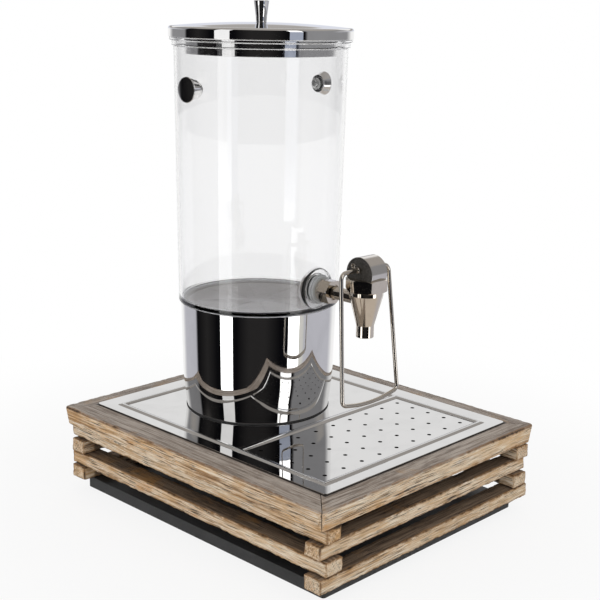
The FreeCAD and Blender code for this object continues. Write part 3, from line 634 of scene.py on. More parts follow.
def railRing():
    # the whole top frame as one ring, with its outer face leaning in at the foot
    outer = Vector((stackHalf.x, stackHalf.y, 0))
    width, lean = railForm["width"], railForm["lean"]
    rings = []
    bm = bmesh.new()
    for reach, height in ((0, railTop), (-lean, stackLow.z), (-width, railTop), (-width, stackLow.z)):
        x, y = outer.x + reach, outer.y + reach
        verts = [bm.verts.new((sx * x, sy * y, height)) for sx, sy in ((-1, -1), (1, -1), (1, 1), (-1, 1))]
        rings.append([bm.edges.new((verts[i], verts[(i + 1) % 4])) for i in range(4)])
    for first, second in ((0, 1), (1, 3), (3, 2), (2, 0)):
        bmesh.ops.bridge_loops(bm, edges=rings[first] + rings[second])
    corners = [edge for edge in uprights(bm, 10 * mm) if abs(edge.verts[0].co.x) > outer.x - 10 * mm]
    bevel(bm, corners, railForm["corner"], 5)
    rim = [edge for edge in bm.edges if min(vert.co.z for vert in edge.verts) > railTop - 1 * mm
           and min(max(abs(vert.co.x) - outer.x, abs(vert.co.y) - outer.y) for vert in edge.verts) > -6 * mm
           and len(edge.link_faces) == 2 and edge.calc_face_angle(0) > 1.0]
    bevel(bm, rim, railForm["ease"], 3)
    return bm


railForm = {"width": 40 * mm, "lean": 2.2 * mm, "corner": 5 * mm, "ease": 2.4 * mm}


def rail(name, node, axis, sign, shift):
    # one rail, cut out of the ring along its two mitres
    bm = railRing()
    inner = Vector((stackHalf.x - railForm["width"], stackHalf.y - railForm["width"], 0))
    other = 1 - axis
    for end in (-1, 1):
        corner = Vector((0, 0, 0))
        corner[axis] = end * inner[axis]
        corner[other] = sign * inner[other]
        away = Vector((0, 0, 0))
        away[axis] = end
        away[other] = -sign
        trim(bm, corner - away * woodForm["seam"], away)
    divide(bm, woodForm["step"] * 1.1)
    low = Vector((-stackHalf.x, -stackHalf.y, stackLow.z))
    high = Vector((stackHalf.x, stackHalf.y, railTop))
    weather(bm, low, high, axis, shift)
    material = woodMaterial(name + "Wood", axis, low, high, shift, railTop)
    finishPiece(bm, name, material, "base", [node], sharp=50, flat=False)


rail("railLeft", "frame_rail_left", 1, -1, 0.31)
rail("railRight", "frame_rail_right", 1, 1, 0.83)
rail("railFront", "frame_rail_front", 0, -1, 1.27)
rail("railRear", "frame_rail_rear", 0, 1, 1.71)
for index, node in enumerate(sorted(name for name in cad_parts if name.startswith("batten_"))):
    side = node.split("_")[2]
    batten("batten" + node.split("_")[1] + side.capitalize(), node, 1 if side in ("left", "right") else 0,
           2.1 + 0.37 * index)


plinthForm = {"corner": 3 * mm, "ease": 0.6 * mm}


def plinth():
    low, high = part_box("plinth_board")
    bm = brick(low, high)
    bevel(bm, uprights(bm, 1 * mm), plinthForm["corner"], 4)
    easeEdges(bm, 60, plinthForm["ease"])
    finishPiece(bm, "plinthBoard", blackBoard, "base", ["plinth_board"])


plinth()
print("wooden base ready")


# Tray with its beads and well

trayForm = {
    "beadLeft": -116.0 * mm, "beadRight": 118.8 * mm, "beadFront": -148.2 * mm, "beadRear": 144.7 * mm,
    "beadWide": 7.2 * mm, "beadHigh": 1.6 * mm, "beadSteps": 8,
    "dividerFront": -39.8 * mm, "dividerRear": -30.0 * mm,
    "corner": 4.2 * mm, "sheet": 1.0 * mm, "ledge": 4.0 * mm, "wellCorner": 8.0 * mm, "mouthEase": 0.15 * mm,
    "wellDraft": 0.3 * mm, "edgeEase": 0.22 * mm,
}


def beadRise(along, wide):
    # height of a bead's round back at a distance from its foot
    high = trayForm["beadHigh"]
    radius = (wide * wide / 4 + high * high) / (2 * high)
    if along <= 0 or along >= wide:
        return 0.0
    return math.sqrt(radius * radius - (wide / 2 - along) ** 2) - radius + high


def tray():
    form = trayForm
    low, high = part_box("tray")
    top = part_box("drip_grid")[1].z
    wide, steps = form["beadWide"], form["beadSteps"]
    left, right, front, rear = form["beadLeft"], form["beadRight"], form["beadFront"], form["beadRear"]
    dividerWide = form["dividerRear"] - form["dividerFront"]
    shares = [step / steps for step in range(steps + 1)]
    columns = [low.x] + [left + wide * share for share in shares]
    columns += [right - wide + wide * share for share in shares] + [high.x]
    rows = [low.y] + [front + wide * share for share in shares]
    rows += [form["dividerFront"] + dividerWide * share for share in shares]
    rows += [rear - wide + wide * share for share in shares] + [high.y]
    bm = bmesh.new()
    bmesh.ops.create_grid(bm, x_segments=len(columns) - 1, y_segments=len(rows) - 1, size=1.0)
    for vert in bm.verts:
        x = columns[round((vert.co.x + 1) / 2 * (len(columns) - 1))]
        y = rows[round((vert.co.y + 1) / 2 * (len(rows) - 1))]
        rise = beadRise(min(x - left, right - x, y - front, rear - y), wide)
        if left + wide / 2 < x < right - wide / 2:
            rise = max(rise, beadRise(y - form["dividerFront"], dividerWide))
        vert.co = Vector((x, y, top + rise))
    # mitres: a bent quad is split through its odd corner
    for face in bm.faces[:]:
        heights = [vert.co.z for vert in face.verts]
        if abs(heights[0] - heights[1] + heights[2] - heights[3]) > 0.01 * mm:
            middle = sum(heights) / 4
            odd = max(range(4), key=lambda index: abs(heights[index] - middle))
            bmesh.utils.face_split(face, face.verts[odd], face.verts[(odd + 2) % 4])
    corners = [vert for vert in bm.verts if len(vert.link_edges) == 2]
    bevel(bm, corners, form["corner"], 6, "VERTICES")
    # the front panel becomes a ledge and a well
    x0, x1 = left + wide, right - wide
    y0, y1 = front + wide, form["dividerFront"]
    middle = Vector(((x0 + x1) / 2, (y0 + y1) / 2, top))
    panel = min(bm.faces, key=lambda face: (face.calc_center_median() - middle).length)
    loop = list(panel.edges)
    bmesh.ops.delete(bm, geom=[panel], context="FACES_ONLY")
    wellDrop = low.z + form["sheet"] - top + form["sheet"]
    for inset, drop in ((0, -form["sheet"]), (-form["ledge"], 0), (-form["wellDraft"], wellDrop)):
        made = bmesh.ops.extrude_edge_only(bm, edges=loop)["geom"]
        verts = [item for item in made if isinstance(item, bmesh.types.BMVert)]
        loop = [item for item in made if isinstance(item, bmesh.types.BMEdge)
                and all(vert in verts for vert in item.verts)]
        for vert in verts:
            vert.co.x += inset * math.copysign(1, vert.co.x - middle.x)
            vert.co.y += inset * math.copysign(1, vert.co.y - middle.y)
            vert.co.z += drop
    bmesh.ops.contextual_create(bm, geom=loop)
    bevel(bm, uprights(bm, 20 * mm), form["wellCorner"], 6)
    bmesh.ops.recalc_face_normals(bm, faces=bm.faces)
    if sum(face.normal.z * face.calc_area() for face in bm.faces) < 0:
        bmesh.ops.reverse_faces(bm, faces=bm.faces)
    # rounds the well's mouth
    bend = math.radians(35)
    folds = [edge for edge in bm.edges if len(edge.link_faces) == 2 and edge.calc_face_angle(0) > bend
             and max(abs(vert.co.z - top) for vert in edge.verts) < 0.1 * mm
             and min(abs(face.normal.z) for face in edge.link_faces) < 0.3]
    bevel(bm, folds, form["mouthEase"], 3, clamp=True)
    piece = finishPiece(bm, "trayPressing", traySteel, "tray", ["tray"], sharp=30, recalc=False,
                        flat=False)
    shell = piece.modifiers.new("sheet", "SOLIDIFY")
    shell.thickness = form["sheet"]
    shell.offset = -1.0
    shell.use_even_offset = True
    edge = piece.modifiers.new("edge", "BEVEL")
    edge.width = form["edgeEase"]
    edge.segments = 2
    edge.limit_method = "ANGLE"
    edge.angle_limit = math.radians(60)
    flatShading(piece)


def dripGrid():
    # perforated plate; every hole is punched from above, so its rim is drawn in
    low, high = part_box("drip_grid")
    bm = brick(low, high)
    bevel(bm, uprights(bm, 0.5 * mm), gridForm["corner"], 3)
    punches = bmesh.new()
    for column in range(gridForm["columns"]):
        for row in range(gridForm["rows"]):
            x = gridForm["firstX"] - gridForm["pitchX"] * column
            y = gridForm["firstY"] - gridForm["pitchY"] * row
            join(punches, rod(gridForm["radius"], (x, y, low.z - 2 * mm), (x, y, high.z + 2 * mm), 28))
    bm = combine(bm, "DIFFERENCE", punches)
    easeEdges(bm, 50, gridForm["rim"])
    finishPiece(bm, "dripPlate", punchedSteel(), "grid", ["drip_grid"], sharp=25)


gridForm = {"columns": 9, "rows": 5, "firstX": 100.95 * mm, "firstY": -49.5 * mm, "pitchX": 24.87 * mm,
            "pitchY": 20.39 * mm, "radius": 1.95 * mm, "corner": 1.0 * mm, "rim": 0.12 * mm}


def punchedSteel():
    # polished plate; the walls of its holes are dull, and painted near black as painted shade inside the holes
    form = gridForm
    material, tree, shader, place = newMaterial("punchedSteel")
    squares = []
    for spot, axis in zip(place.split(), ("X", "Y")):
        first, pitch = form["first" + axis], form["pitch" + axis]
        count = (spot - first) / pitch
        off = (count - count.calc("ROUND", count)) * pitch
        squares.append(off * off)
    reach = squares[0] + squares[1]
    reach = reach.calc("SQRT", reach)
    # painted shade: the holes' walls go near black, standing in for the shade inside the holes
    wall = reach.step(form["radius"] + 0.05 * mm, form["radius"] + 0.14 * mm, 1.0, 0.0)
    steel, touch = touchedSteel(tree, place, (0.665, 0.66, 0.655), 0.94, 0.02, 0.05)
    fill(tree, shader, {"Base Color": wall.blend(steel, (0.02, 0.02, 0.02)), "Metallic": 1.0,
                        "Roughness": touch["Roughness"] + wall * 0.5})
    addBump(tree, shader, touch["Height"], 0.5, 0.0005)
    return material


tray()
dripGrid()
print("tray and grid ready")


# Collar, its seal and the cooling pack

collarForm = {"footRadius": 73.8 * mm, "kneeRadius": 77.4 * mm, "knee": 123.0 * mm, "bend": 180.0 * mm,
              "flange": 63.5 * mm, "wall": 1.2 * mm}


def collar():
    low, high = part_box("collar")
    form = collarForm
    foot, wall, knee = form["footRadius"], form["wall"], form["kneeRadius"]
    rim = high.x - tubeAxis.x
    outline = [
        (form["flange"], low.z, 0), (foot, low.z, 0.9 * mm), (knee, form["knee"], form["bend"]),
        (rim, high.z, 0.55 * mm), (rim - wall, high.z, 0.4 * mm), (knee - wall, form["knee"], form["bend"]),
        (foot - wall, low.z + wall, 0.6 * mm), (form["flange"], low.z + wall, 0),
    ]
    bm = lathe(outline, tubeAxis, steps=192, closed=True)
    finishPiece(bm, "collarShell", mirrorSteel, "tray", ["collar"])


def collarSeal():
    low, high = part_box("collar_seal")
    rim = high.x - tubeAxis.x
    outline = [(collarForm["flange"], low.z, 0), (rim, low.z, 0.3 * mm), (rim, high.z, 0.3 * mm),
               (collarForm["flange"], high.z, 0)]
    bm = lathe(outline, tubeAxis, steps=128, closed=True, arcSteps=3)
    finishPiece(bm, "collarSeal", blackRubber, "tray", ["collar_seal"])


packForm = {"footRadius": 61.5 * mm, "stepRadius": 71.6 * mm, "radius": 73.4 * mm, "step": 99.0 * mm,
            "knee": 125.0 * mm, "top": 199.6 * mm, "ribHigh": 1.1 * mm, "ribHalf": 1.3 * mm,
            "ribFrom": 9 * mm, "ribTo": 66.4 * mm, "ribs": 8, "ribTurn": 10.0, "hub": 12 * mm}


def coolingPack():
    form = packForm
    low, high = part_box("cooling_pack")
    foot = form["footRadius"]
    outline = [(0, low.z, 0), (foot, low.z, 1.5 * mm), (foot, form["step"], 0.5 * mm),
               (form["stepRadius"], form["step"], 2 * mm), (form["radius"], form["knee"], 20 * mm),
               (form["radius"], form["top"], 2.5 * mm), (0, form["top"], 0)]
    bm = lathe(outline, tubeAxis, steps=96)
    for index in range(form["ribs"]):
        rib = brick((form["ribFrom"], -form["ribHalf"], form["top"] - 1 * mm),
                    (form["ribTo"], form["ribHalf"], form["top"] + form["ribHigh"]))
        easeEdges(rib, 40, 0.8 * mm, 2)
        turn = Matrix.Rotation(math.radians(360 / form["ribs"] * index + form["ribTurn"]), 4, "Z")
        bmesh.ops.transform(rib, matrix=Matrix.Translation(tubeAxis) @ turn, verts=rib.verts)
        join(bm, rib)
    hub, under = form["hub"], form["top"] - 1 * mm
    outline = [(0, under, 0), (hub, under, 0), (hub, high.z, 0.8 * mm), (0, high.z, 0)]
    join(bm, lathe(outline, tubeAxis, steps=64))
    finishPiece(bm, "coolingPack", packPlastic, "pack", ["cooling_pack"])


collar()
collarSeal()
coolingPack()


# Container

tubeForm = {
    "foot": 81.4 * mm, "head": 85.2 * mm, "wall": 3.2 * mm, "under": 202.7 * mm, "floor": 206.0 * mm,
    "spigot": 77.3 * mm, "spigotWall": 2.2 * mm, "rimStep": 455.2 * mm, "rimLip": 460.4 * mm,
    "stepRadius": 87.2 * mm, "lipRadius": 89.3 * mm, "padRadius": 20.0 * mm, "innerPad": 15.0 * mm,
    "padFace": -28.8 * mm, "innerPadFace": -21.6 * mm, "tapHole": 6.6 * mm, "studHole": 2.4 * mm,
}


def pad(radius, start, end, ease, steps):
    # disc about the tap's pipe, rounded at its end
    return lathe([(0, start, 0), (radius, start, 0), (radius, end, ease), (0, end, 0)], pipeLine, inward, steps)


def container():
    form = tubeForm
    low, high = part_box("container")
    wall = form["wall"]
    foot, head, step, lip = form["foot"], form["head"], form["stepRadius"], form["lipRadius"]
    outline = [
        (0, form["under"], 0), (form["spigot"] - form["spigotWall"], form["under"], 0),
        (form["spigot"] - form["spigotWall"], low.z, 0.4 * mm), (form["spigot"], low.z, 0.5 * mm),
        (form["spigot"], form["under"], 0), (foot, form["under"], 1.4 * mm), (head, form["rimStep"], 0.6 * mm),
        (step, form["rimStep"] + 0.8 * mm, 0.5 * mm), (step, form["rimLip"], 0.4 * mm),
        (lip, form["rimLip"] + 0.6 * mm, 0.5 * mm), (lip, high.z, 0.6 * mm),
        (head - wall, high.z, 0.6 * mm), (head - wall, form["rimStep"], 4 * mm),
        (foot - wall, form["floor"], 3.0 * mm), (0, form["floor"], 0),
    ]
    bm = lathe(outline, tubeAxis, steps=192, arcSteps=6)
    outerPad = pad(form["padRadius"], form["padFace"] + 9 * mm, form["padFace"], 1.2 * mm, 96)
    innerPad = pad(form["innerPad"], form["innerPadFace"] - 3 * mm, form["innerPadFace"], 1.0 * mm, 96)
    # the outer pad's inside is hollowed to the tube, so only what stands proud is added
    outline = [(0, form["floor"], 0), (foot - wall, form["floor"], 3.0 * mm), (head - wall, form["rimStep"], 0),
               (0, form["rimStep"], 0)]
    hollow = lathe(outline, tubeAxis, steps=192, arcSteps=6)
    outerPad = combine(outerPad, "DIFFERENCE", hollow)
    bm = combine(bm, "UNION", outerPad, innerPad)
    studHeight = (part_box("stud_left")[0].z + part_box("stud_left")[1].z) / 2
    bore = rod(form["tapHole"], pipeLine + inward * -40 * mm, pipeLine + inward * -10 * mm, 48)
    studLine = Vector((tubeAxis.x, tubeAxis.y, studHeight))
    cross = rod(form["studHole"], studLine - across * 100 * mm, studLine + across * 100 * mm, 24)
    bm = combine(bm, "DIFFERENCE", bore, cross)
    finishPiece(bm, "containerTube", clearTube, "container", ["container"], sharp=28)


container()
print("collar, pack and container ready")


# Lid

lidForm = {"radius": 90.4 * mm, "shoulder": 474.3 * mm, "dome": 478.6 * mm, "domeRadius": 85.5 * mm,
           "edge": 3.0 * mm, "sheet": 1.0 * mm, "skirt": 75.0 * mm, "knobFoot": 5.3 * mm, "knobHead": 7.7 * mm,
           "knobWaist": 5.6 * mm}


def domeLine(drop, steps=10):
    # the dome's height falls with the square of the radius; the outer point comes first
    rise = lidForm["dome"] - lidForm["shoulder"]
    points = []
    for step in range(steps, -1, -1):
        radius = lidForm["domeRadius"] * step / steps
        height = lidForm["dome"] - drop - rise * (step / steps) ** 2
        points.append((radius, height, 0))
    return points


def lidShell():
    form = lidForm
    low = lidLow.z
    sheet = form["sheet"]
    outside = [(form["radius"] - sheet, low, 0), (form["radius"], low, 0.25 * mm),
               (form["radius"], form["shoulder"], form["edge"])]
    outside += domeLine(0)
    inside = domeLine(sheet)[::-1]
    inside += [(form["radius"] - sheet, form["shoulder"] - sheet, form["edge"] - sheet)]
    bm = lathe(outside + inside, tubeAxis, steps=192, closed=True, arcSteps=7)
    finishPiece(bm, "lidShell", mirrorSteel, "lid", ["lid_shell"])


def lidBase():
    form = lidForm
    low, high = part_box("lid_base")
    skirt, sheet = form["skirt"], form["sheet"]
    brim = high.z - sheet
    outline = [(skirt - sheet, low.z, 0.3 * mm), (skirt, low.z, 0.3 * mm), (skirt, brim, 0.3 * mm),
               (form["radius"] - sheet - 0.1 * mm, brim, 0), (form["radius"] - sheet - 0.1 * mm, high.z, 0),
               (skirt - sheet, high.z, 0.6 * mm)]
    bm = lathe(outline, tubeAxis, steps=160, closed=True)
    finishPiece(bm, "lidSkirt", mirrorSteel, "lid", ["lid_base"])


def lidKnob():
    form = lidForm
    low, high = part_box("lid_knob")
    outline = [(0, low.z, 0), (form["knobFoot"], low.z, 0.2 * mm), (form["knobWaist"], low.z + 5 * mm, 8 * mm),
               (form["knobHead"], high.z, 0.7 * mm), (0, high.z, 0)]
    bm = lathe(outline, tubeAxis, steps=72, arcSteps=6)
    finishPiece(bm, "lidKnob", mirrorSteel, "lid", ["lid_knob"])


lidShell()
lidBase()
lidKnob()
print("lid ready")


# Carrying studs and their inner screws

studForm = {"waist": 0.74, "crown": 0.6 * mm}


def studs():
    for name, node, side in (("studLeft", "stud_left", -1), ("studRight", "stud_right", 1)):
        low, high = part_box(node)
        middle = (low + high) / 2
        face = low.x if side < 0 else high.x
        seat = high.x if side < 0 else low.x
        long = abs(face - seat)
        wide = (high.z - low.z) / 2
        waist, crown = wide * studForm["waist"], studForm["crown"]
        outline = [(0, 0, 0), (waist, 0, 0), (waist, 1.8 * mm, 1.0 * mm), (wide, long - 1.8 * mm, 0.4 * mm),
                   (wide, long - crown, 0.5 * mm)]
        outline += [(wide * share, long - crown * share ** 2, 0) for share in (0.84, 0.65, 0.45, 0.25, 0)]
        bm = lathe(outline, Vector((seat, middle.y, middle.z)), across * side, 80)
        wall = lathe([(0, 380 * mm, 0), (tubeAt(0.380), 0.380, 0), (tubeAt(0.450), 0.450, 0), (0, 0.450, 0)],
                     tubeAxis, steps=256)
        bm = combine(bm, "DIFFERENCE", wall)
        finishPiece(bm, name, chrome, "container", [node])


def tubeAt(height):
    share = (height - tubeForm["under"]) / (tubeForm["rimStep"] - tubeForm["under"])
    return tubeForm["foot"] + (tubeForm["head"] - tubeForm["foot"]) * share + 0.02 * mm


screwForm = {"head": 4.3 * mm, "headThick": 2.35 * mm, "headEase": 1.3 * mm, "headProud": 4.05 * mm,
             "shank": 2.0 * mm, "slot": (2.5 * mm, 0.45 * mm), "slotDeep": 1.2 * mm}


def studScrews():
    form = screwForm
    low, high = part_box("stud_screws")
    middle = (low + high) / 2
    sealLow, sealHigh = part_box("stud_seals")
    shells = []
    for side in (-1, 1):
        outerEnd = low.x if side < 0 else high.x
        sealFace = sealLow.x if side < 0 else sealHigh.x
        start = Vector((sealFace - side * form["headProud"], middle.y, middle.z))
        reach = abs(outerEnd - start.x)
        head, thick, shank = form["head"], form["headThick"], form["shank"]
        outline = [(0, 0, 0), (head, 0, form["headEase"]), (head, thick, 0.2 * mm), (shank, thick, 0),
                   (shank, reach, 0.4 * mm), (0, reach, 0)]
        screw = lathe(outline, start, across * side, 40)
        for wide, tall in (form["slot"], form["slot"][::-1]):
            arm = Vector((form["slotDeep"], wide, tall))
            screw = combine(screw, "DIFFERENCE", brick(start - arm, start + arm))
        shells.append(screw)
    bm = join(shells[0], shells[1])
    finishPiece(bm, "studScrews", zinc, "container", ["stud_screws"])


studs()
studScrews()


# Tap

tapForm = {
    "tip": 8.5 * mm, "tipTop": 203.5 * mm, "body": 16.2 * mm, "coneTop": 233.0 * mm, "outlet": 6.5 * mm,
    "throat": 4.5 * mm, "seat": 219.0 * mm, "chamber": 9.5 * mm, "mouth": 12.0 * mm, "shelf": 231.2 * mm,
    "pipe": 6.3 * mm, "pipeBore": 4.0 * mm, "nutFlat": 21.6 * mm, "nutTurn": 5.5, "nutShoulder": 10.4 * mm,
    "nutBack": 4.2 * mm, "bonnetFlat": 35.3 * mm, "bonnetTurn": -5.0, "pocket": 6.6 * mm, "pocketTop": 238 * mm,
    "stemBore": 2.28 * mm, "stemSeal": 4.5 * mm, "sealDeep": 2.6 * mm, "head": 16.0 * mm, "headEase": 0.7 * mm,
    "headHeight": 254.0 * mm, "wireBore": 2.06 * mm, "pinBore": 2.65 * mm, "lock": 22.0 * mm,
}


def tapBody():
    form = tapForm
    low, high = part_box("tap_body")
    tip, body, mouth, chamber = form["tip"], form["body"], form["mouth"], form["chamber"]
    outline = [
        (form["outlet"], low.z, 0.3 * mm), (tip, low.z, 0.5 * mm), (tip, form["tipTop"], 3 * mm),
        (body, form["coneTop"], 1.0 * mm), (body, high.z, 0.3 * mm), (mouth, high.z, 0),
        (mouth, form["shelf"], 0), (chamber, form["shelf"], 0), (chamber, form["seat"], 0),
        (form["throat"], form["seat"], 0), (form["throat"], low.z + 10 * mm, 0),
        (form["outlet"], low.z + 8 * mm, 0),
    ]
    bm = lathe(outline, tapAxis, steps=96, closed=True)
    bm = combine(bm, "UNION", pad(form["pipe"], tapAxis.y + 12.5 * mm, high.y, 0.5 * mm, 64))
    bore = rod(form["pipeBore"], pipeLine + inward * tapAxis.y, pipeLine + inward * (high.y + 5 * mm), 40)
    bm = combine(bm, "DIFFERENCE", bore)
    finishPiece(bm, "tapBody", nickel, "container", ["tap_body"], sharp=30)


def tapBonnet():
    form = tapForm
    low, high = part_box("tap_bonnet")
    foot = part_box("tap_body")[1].z
    radius = form["bonnetFlat"] / math.sqrt(3)
    bm = hexBar(form["bonnetFlat"], tapAxis + up * foot, tapAxis + up * high.z, form["bonnetTurn"])
    barrel = lathe([(0, foot, 0), (radius - 1.9 * mm, foot, 0), (radius + 0.1 * mm, foot + 1.2 * mm, 0),
                    (radius + 0.1 * mm, high.z - 1.2 * mm, 0), (radius - 1.9 * mm, high.z, 0), (0, high.z, 0)],
                   tapAxis, steps=120)
    bm = combine(bm, "INTERSECT", barrel)
    easeEdges(bm, 25, 0.3 * mm)
    wide = form["mouth"] - 0.1 * mm
    spigot = lathe([(0, low.z, 0), (wide, low.z, 0.3 * mm), (wide, foot, 0), (0, foot, 0)], tapAxis, steps=64)
    over = tapAxis + up * (high.z + 1 * mm)
    pocket = rod(form["pocket"], tapAxis + up * (low.z - 1 * mm), tapAxis + up * form["pocketTop"], 48)
    bore = rod(form["stemBore"], tapAxis + up * low.z, over, 32)
    seal = rod(form["stemSeal"], tapAxis + up * (high.z - form["sealDeep"]), over, 32)
    bm = combine(bm, "UNION", spigot)
    bm = combine(bm, "DIFFERENCE", pocket, bore, seal)
    finishPiece(bm, "tapBonnet", nickel, "container", ["tap_bonnet"], sharp=25)


def tapHead():
    form = tapForm
    low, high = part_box("tap_head")
    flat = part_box("tap_bonnet")[1].z
    half = (high.x - low.x) / 2
    start = Vector((tapAxis.x - half, tapAxis.y, form["headHeight"]))
    wide, ease = form["head"], form["headEase"]
    outline = [(0, 0, 0), (wide, 0, ease), (wide, 2 * half, ease), (0, 2 * half, 0)]
    bm = lathe(outline, start, across, 120, arcSteps=4)
    trim(bm, (0, 0, flat), (0, 0, -1))
    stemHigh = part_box("valve_stem")[1]
    room = brick((tapAxis.x - 2.6 * mm, tapAxis.y - 5.2 * mm, flat - 1 * mm),
                 (tapAxis.x + 2.6 * mm, stemHigh.y + 0.7 * mm, stemHigh.z + 2.4 * mm))
    wireFrom, wireTo = (start.x - 5 * mm, tapAxis.y, leverHeight), (-start.x, tapAxis.y, leverHeight)
    bore = rod(form["wireBore"], wireFrom, wireTo, 40)
    pinLow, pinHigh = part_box("head_pins")
    pinY, pinZ = (pinLow.y + pinHigh.y) / 2, (pinLow.z + pinHigh.z) / 2
    tools = [room, bore]
    for side in (-1, 1):
        face = tapAxis.x + side * half
        deep, proud = (face - side * 4 * mm, pinY, pinZ), (face + side * 1 * mm, pinY, pinZ)
        tools.append(rod(form["pinBore"], deep, proud, 40))
    bm = combine(bm, "DIFFERENCE", *tools)
    finishPiece(bm, "tapHead", castHead(), "container", ["tap_head"], sharp=30)


pinForm = {"radius": 2.6 * mm, "long": 4.7 * mm, "dimple": 1.6 * mm, "dimpleFoot": 1.2 * mm,
           "dimpleDeep": 0.6 * mm}


def headPins():
    form = pinForm
    low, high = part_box("head_pins")
    middle = (low + high) / 2
    shells = []
    for side in (-1, 1):
        face = low.x if side < 0 else high.x
        long, floor = form["long"], form["long"] - form["dimpleDeep"]
        outline = [(0, 0, 0), (form["radius"], 0, 0), (form["radius"], long, 0.4 * mm),
                   (form["dimple"], long, 0.15 * mm), (form["dimpleFoot"], floor, 0.3 * mm), (0, floor, 0)]
        start = Vector((face - side * long, middle.y, middle.z))
        shells.append(lathe(outline, start, across * side, 48))
    bm = join(shells[0], shells[1])
    finishPiece(bm, "headPins", nickel, "container", ["head_pins"])


def nutOnPipe(flat, start, end, turn, corner):
    # hexagon along Y with its corners turned off at both ends
    radius = flat / math.sqrt(3)
    bm = hexBar(flat, pipeLine + inward * start, pipeLine + inward * end, turn)
    drop = corner * 0.6
    outline = [(0, start, 0), (radius - corner, start, 0), (radius + 0.1 * mm, start + drop, 0),
               (radius + 0.1 * mm, end - drop, 0), (radius - corner, end, 0), (0, end, 0)]
    barrel = lathe(outline, pipeLine, inward, 120)
    bm = combine(bm, "INTERSECT", barrel)
    easeEdges(bm, 25, 0.25 * mm)
    return bm


def tapNuts():
    form = tapForm
    low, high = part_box("tap_nut")
    back = high.y - form["nutBack"]
    bm = nutOnPipe(form["nutFlat"], low.y, back, form["nutTurn"], 1.0 * mm)
    bm = combine(bm, "UNION", pad(form["nutShoulder"], back - 1 * mm, high.y, 0.5 * mm, 64))
    room = form["pipe"] + 0.05 * mm
    before, inside, behind = low.y - 1 * mm, low.y + 1.6 * mm, high.y + 1 * mm
    outline = [(0, before, 0), (8.0 * mm, before, 0), (7.4 * mm, inside, 0), (room, inside, 0),
               (room, behind, 0), (0, behind, 0)]
    bm = combine(bm, "DIFFERENCE", lathe(outline, pipeLine, inward, 64))
    finishPiece(bm, "tapNut", nickel, "container", ["tap_nut"], sharp=25)
    low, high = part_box("lock_nut")
    bm = nutOnPipe(form["lock"], low.y, high.y, 0, 0.9 * mm)
    hole = rod(room, pipeLine + inward * (low.y - 1 * mm), pipeLine + inward * (high.y + 1 * mm), 48)
    bm = combine(bm, "DIFFERENCE", hole)
    finishPiece(bm, "lockNut", nickel, "container", ["lock_nut"], sharp=25)


def washer(name, node, material, ease):
    # ring on the tap's pipe, rounded on its front rim
    low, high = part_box(node)
    outer = (high.z - low.z) / 2
    inner = tapForm["pipe"] + 0.1 * mm
    outline = [(inner, low.y, 0.2 * mm), (outer, low.y, ease), (outer, high.y, 0.3 * mm),
               (inner, high.y, 0.2 * mm)]
    bm = lathe(outline, pipeLine, inward, 96, closed=True)
    finishPiece(bm, name, material, "container", [node])


leverLow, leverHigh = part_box("lever_collars")
leverHeight = (leverLow.z + leverHigh.z) / 2
tapBody()
tapBonnet()
tapHead()
headPins()
tapNuts()
washer("outerGasket", "outer_gasket", clearWasher, 0.5 * mm)
washer("outerWasher", "outer_washer", clearWasher, 1.0 * mm)
washer("innerGasket", "inner_gasket", silicone, 0.4 * mm)
print("tap ready")


# Lever

leverForm = {"shift": -2.5 * mm, "radius": 2.0 * mm, "topHalf": 33.3 * mm, "footHalf": 39.6 * mm,
             "long": 123.5 * mm, "bow": 7 * mm, "tilt": 5.3, "topBend": 7 * mm, "footBend": 6 * mm,
             "bowBend": 160 * mm, "collar": 3.1 * mm}


def leverBail():
    # a closed loop of round wire, bent to arcs at its four corners, with a bowed foot
    form = leverForm
    slope = math.radians(form["tilt"])
    pivot = Vector((tapAxis.x + form["shift"], tapAxis.y, leverHeight))
    down = Vector((0, -math.sin(slope), -math.cos(slope)))
    wide, long, bend = form["footHalf"], form["long"], form["footBend"]
    corners = [(-form["topHalf"], 0, form["topBend"]), (-wide, long, bend),
               (0, long + form["bow"], form["bowBend"]), (wide, long, bend),
               (form["topHalf"], 0, form["topBend"])]
    path = rounded(corners, True, 14)
    curve = bpy.data.curves.new("leverWire", "CURVE")
    curve.dimensions = "3D"
    curve.bevel_depth = form["radius"]
    curve.bevel_resolution = 7
    line = curve.splines.new("POLY")
    line.points.add(len(path) - 1)
    for point, spot in zip(line.points, path):
        point.co = (*(pivot + across * spot.x + down * spot.y), 1)
    line.use_cyclic_u = True
    holder = bpy.data.objects.new("leverWire", curve)
    scene.collection.objects.link(holder)
    graph = bpy.context.evaluated_depsgraph_get()
    mesh = bpy.data.meshes.new_from_object(holder.evaluated_get(graph))
    bm = bmesh.new()
    bm.from_mesh(mesh)
    bpy.data.objects.remove(holder)
    bpy.data.curves.remove(curve)
    bpy.data.meshes.remove(mesh)
    finishPiece(bm, "leverWire", wireSteel, "lever", ["lever_bail"], sharp=60)


def leverCollars():
    low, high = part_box("lever_collars")
    headFrom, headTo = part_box("tap_head")
    shells = []
    for start, end in ((low.x, headFrom.x - 0.3 * mm), (headTo.x + 0.3 * mm, high.x)):
        inner, outer = leverForm["radius"], leverForm["collar"]
        outline = [(inner, start, 0.2 * mm), (outer, start, 0.4 * mm), (outer, end, 0.4 * mm),
                   (inner, end, 0.2 * mm)]
        shells.append(lathe(outline, Vector((0, tapAxis.y, leverHeight)), across, 48, closed=True))
    bm = join(shells[0], shells[1])
    finishPiece(bm, "leverCollars", wireSteel, "lever", ["lever_collars"])


leverBail()
leverCollars()
print("lever ready")


# Carried-over nodes that stay as they are

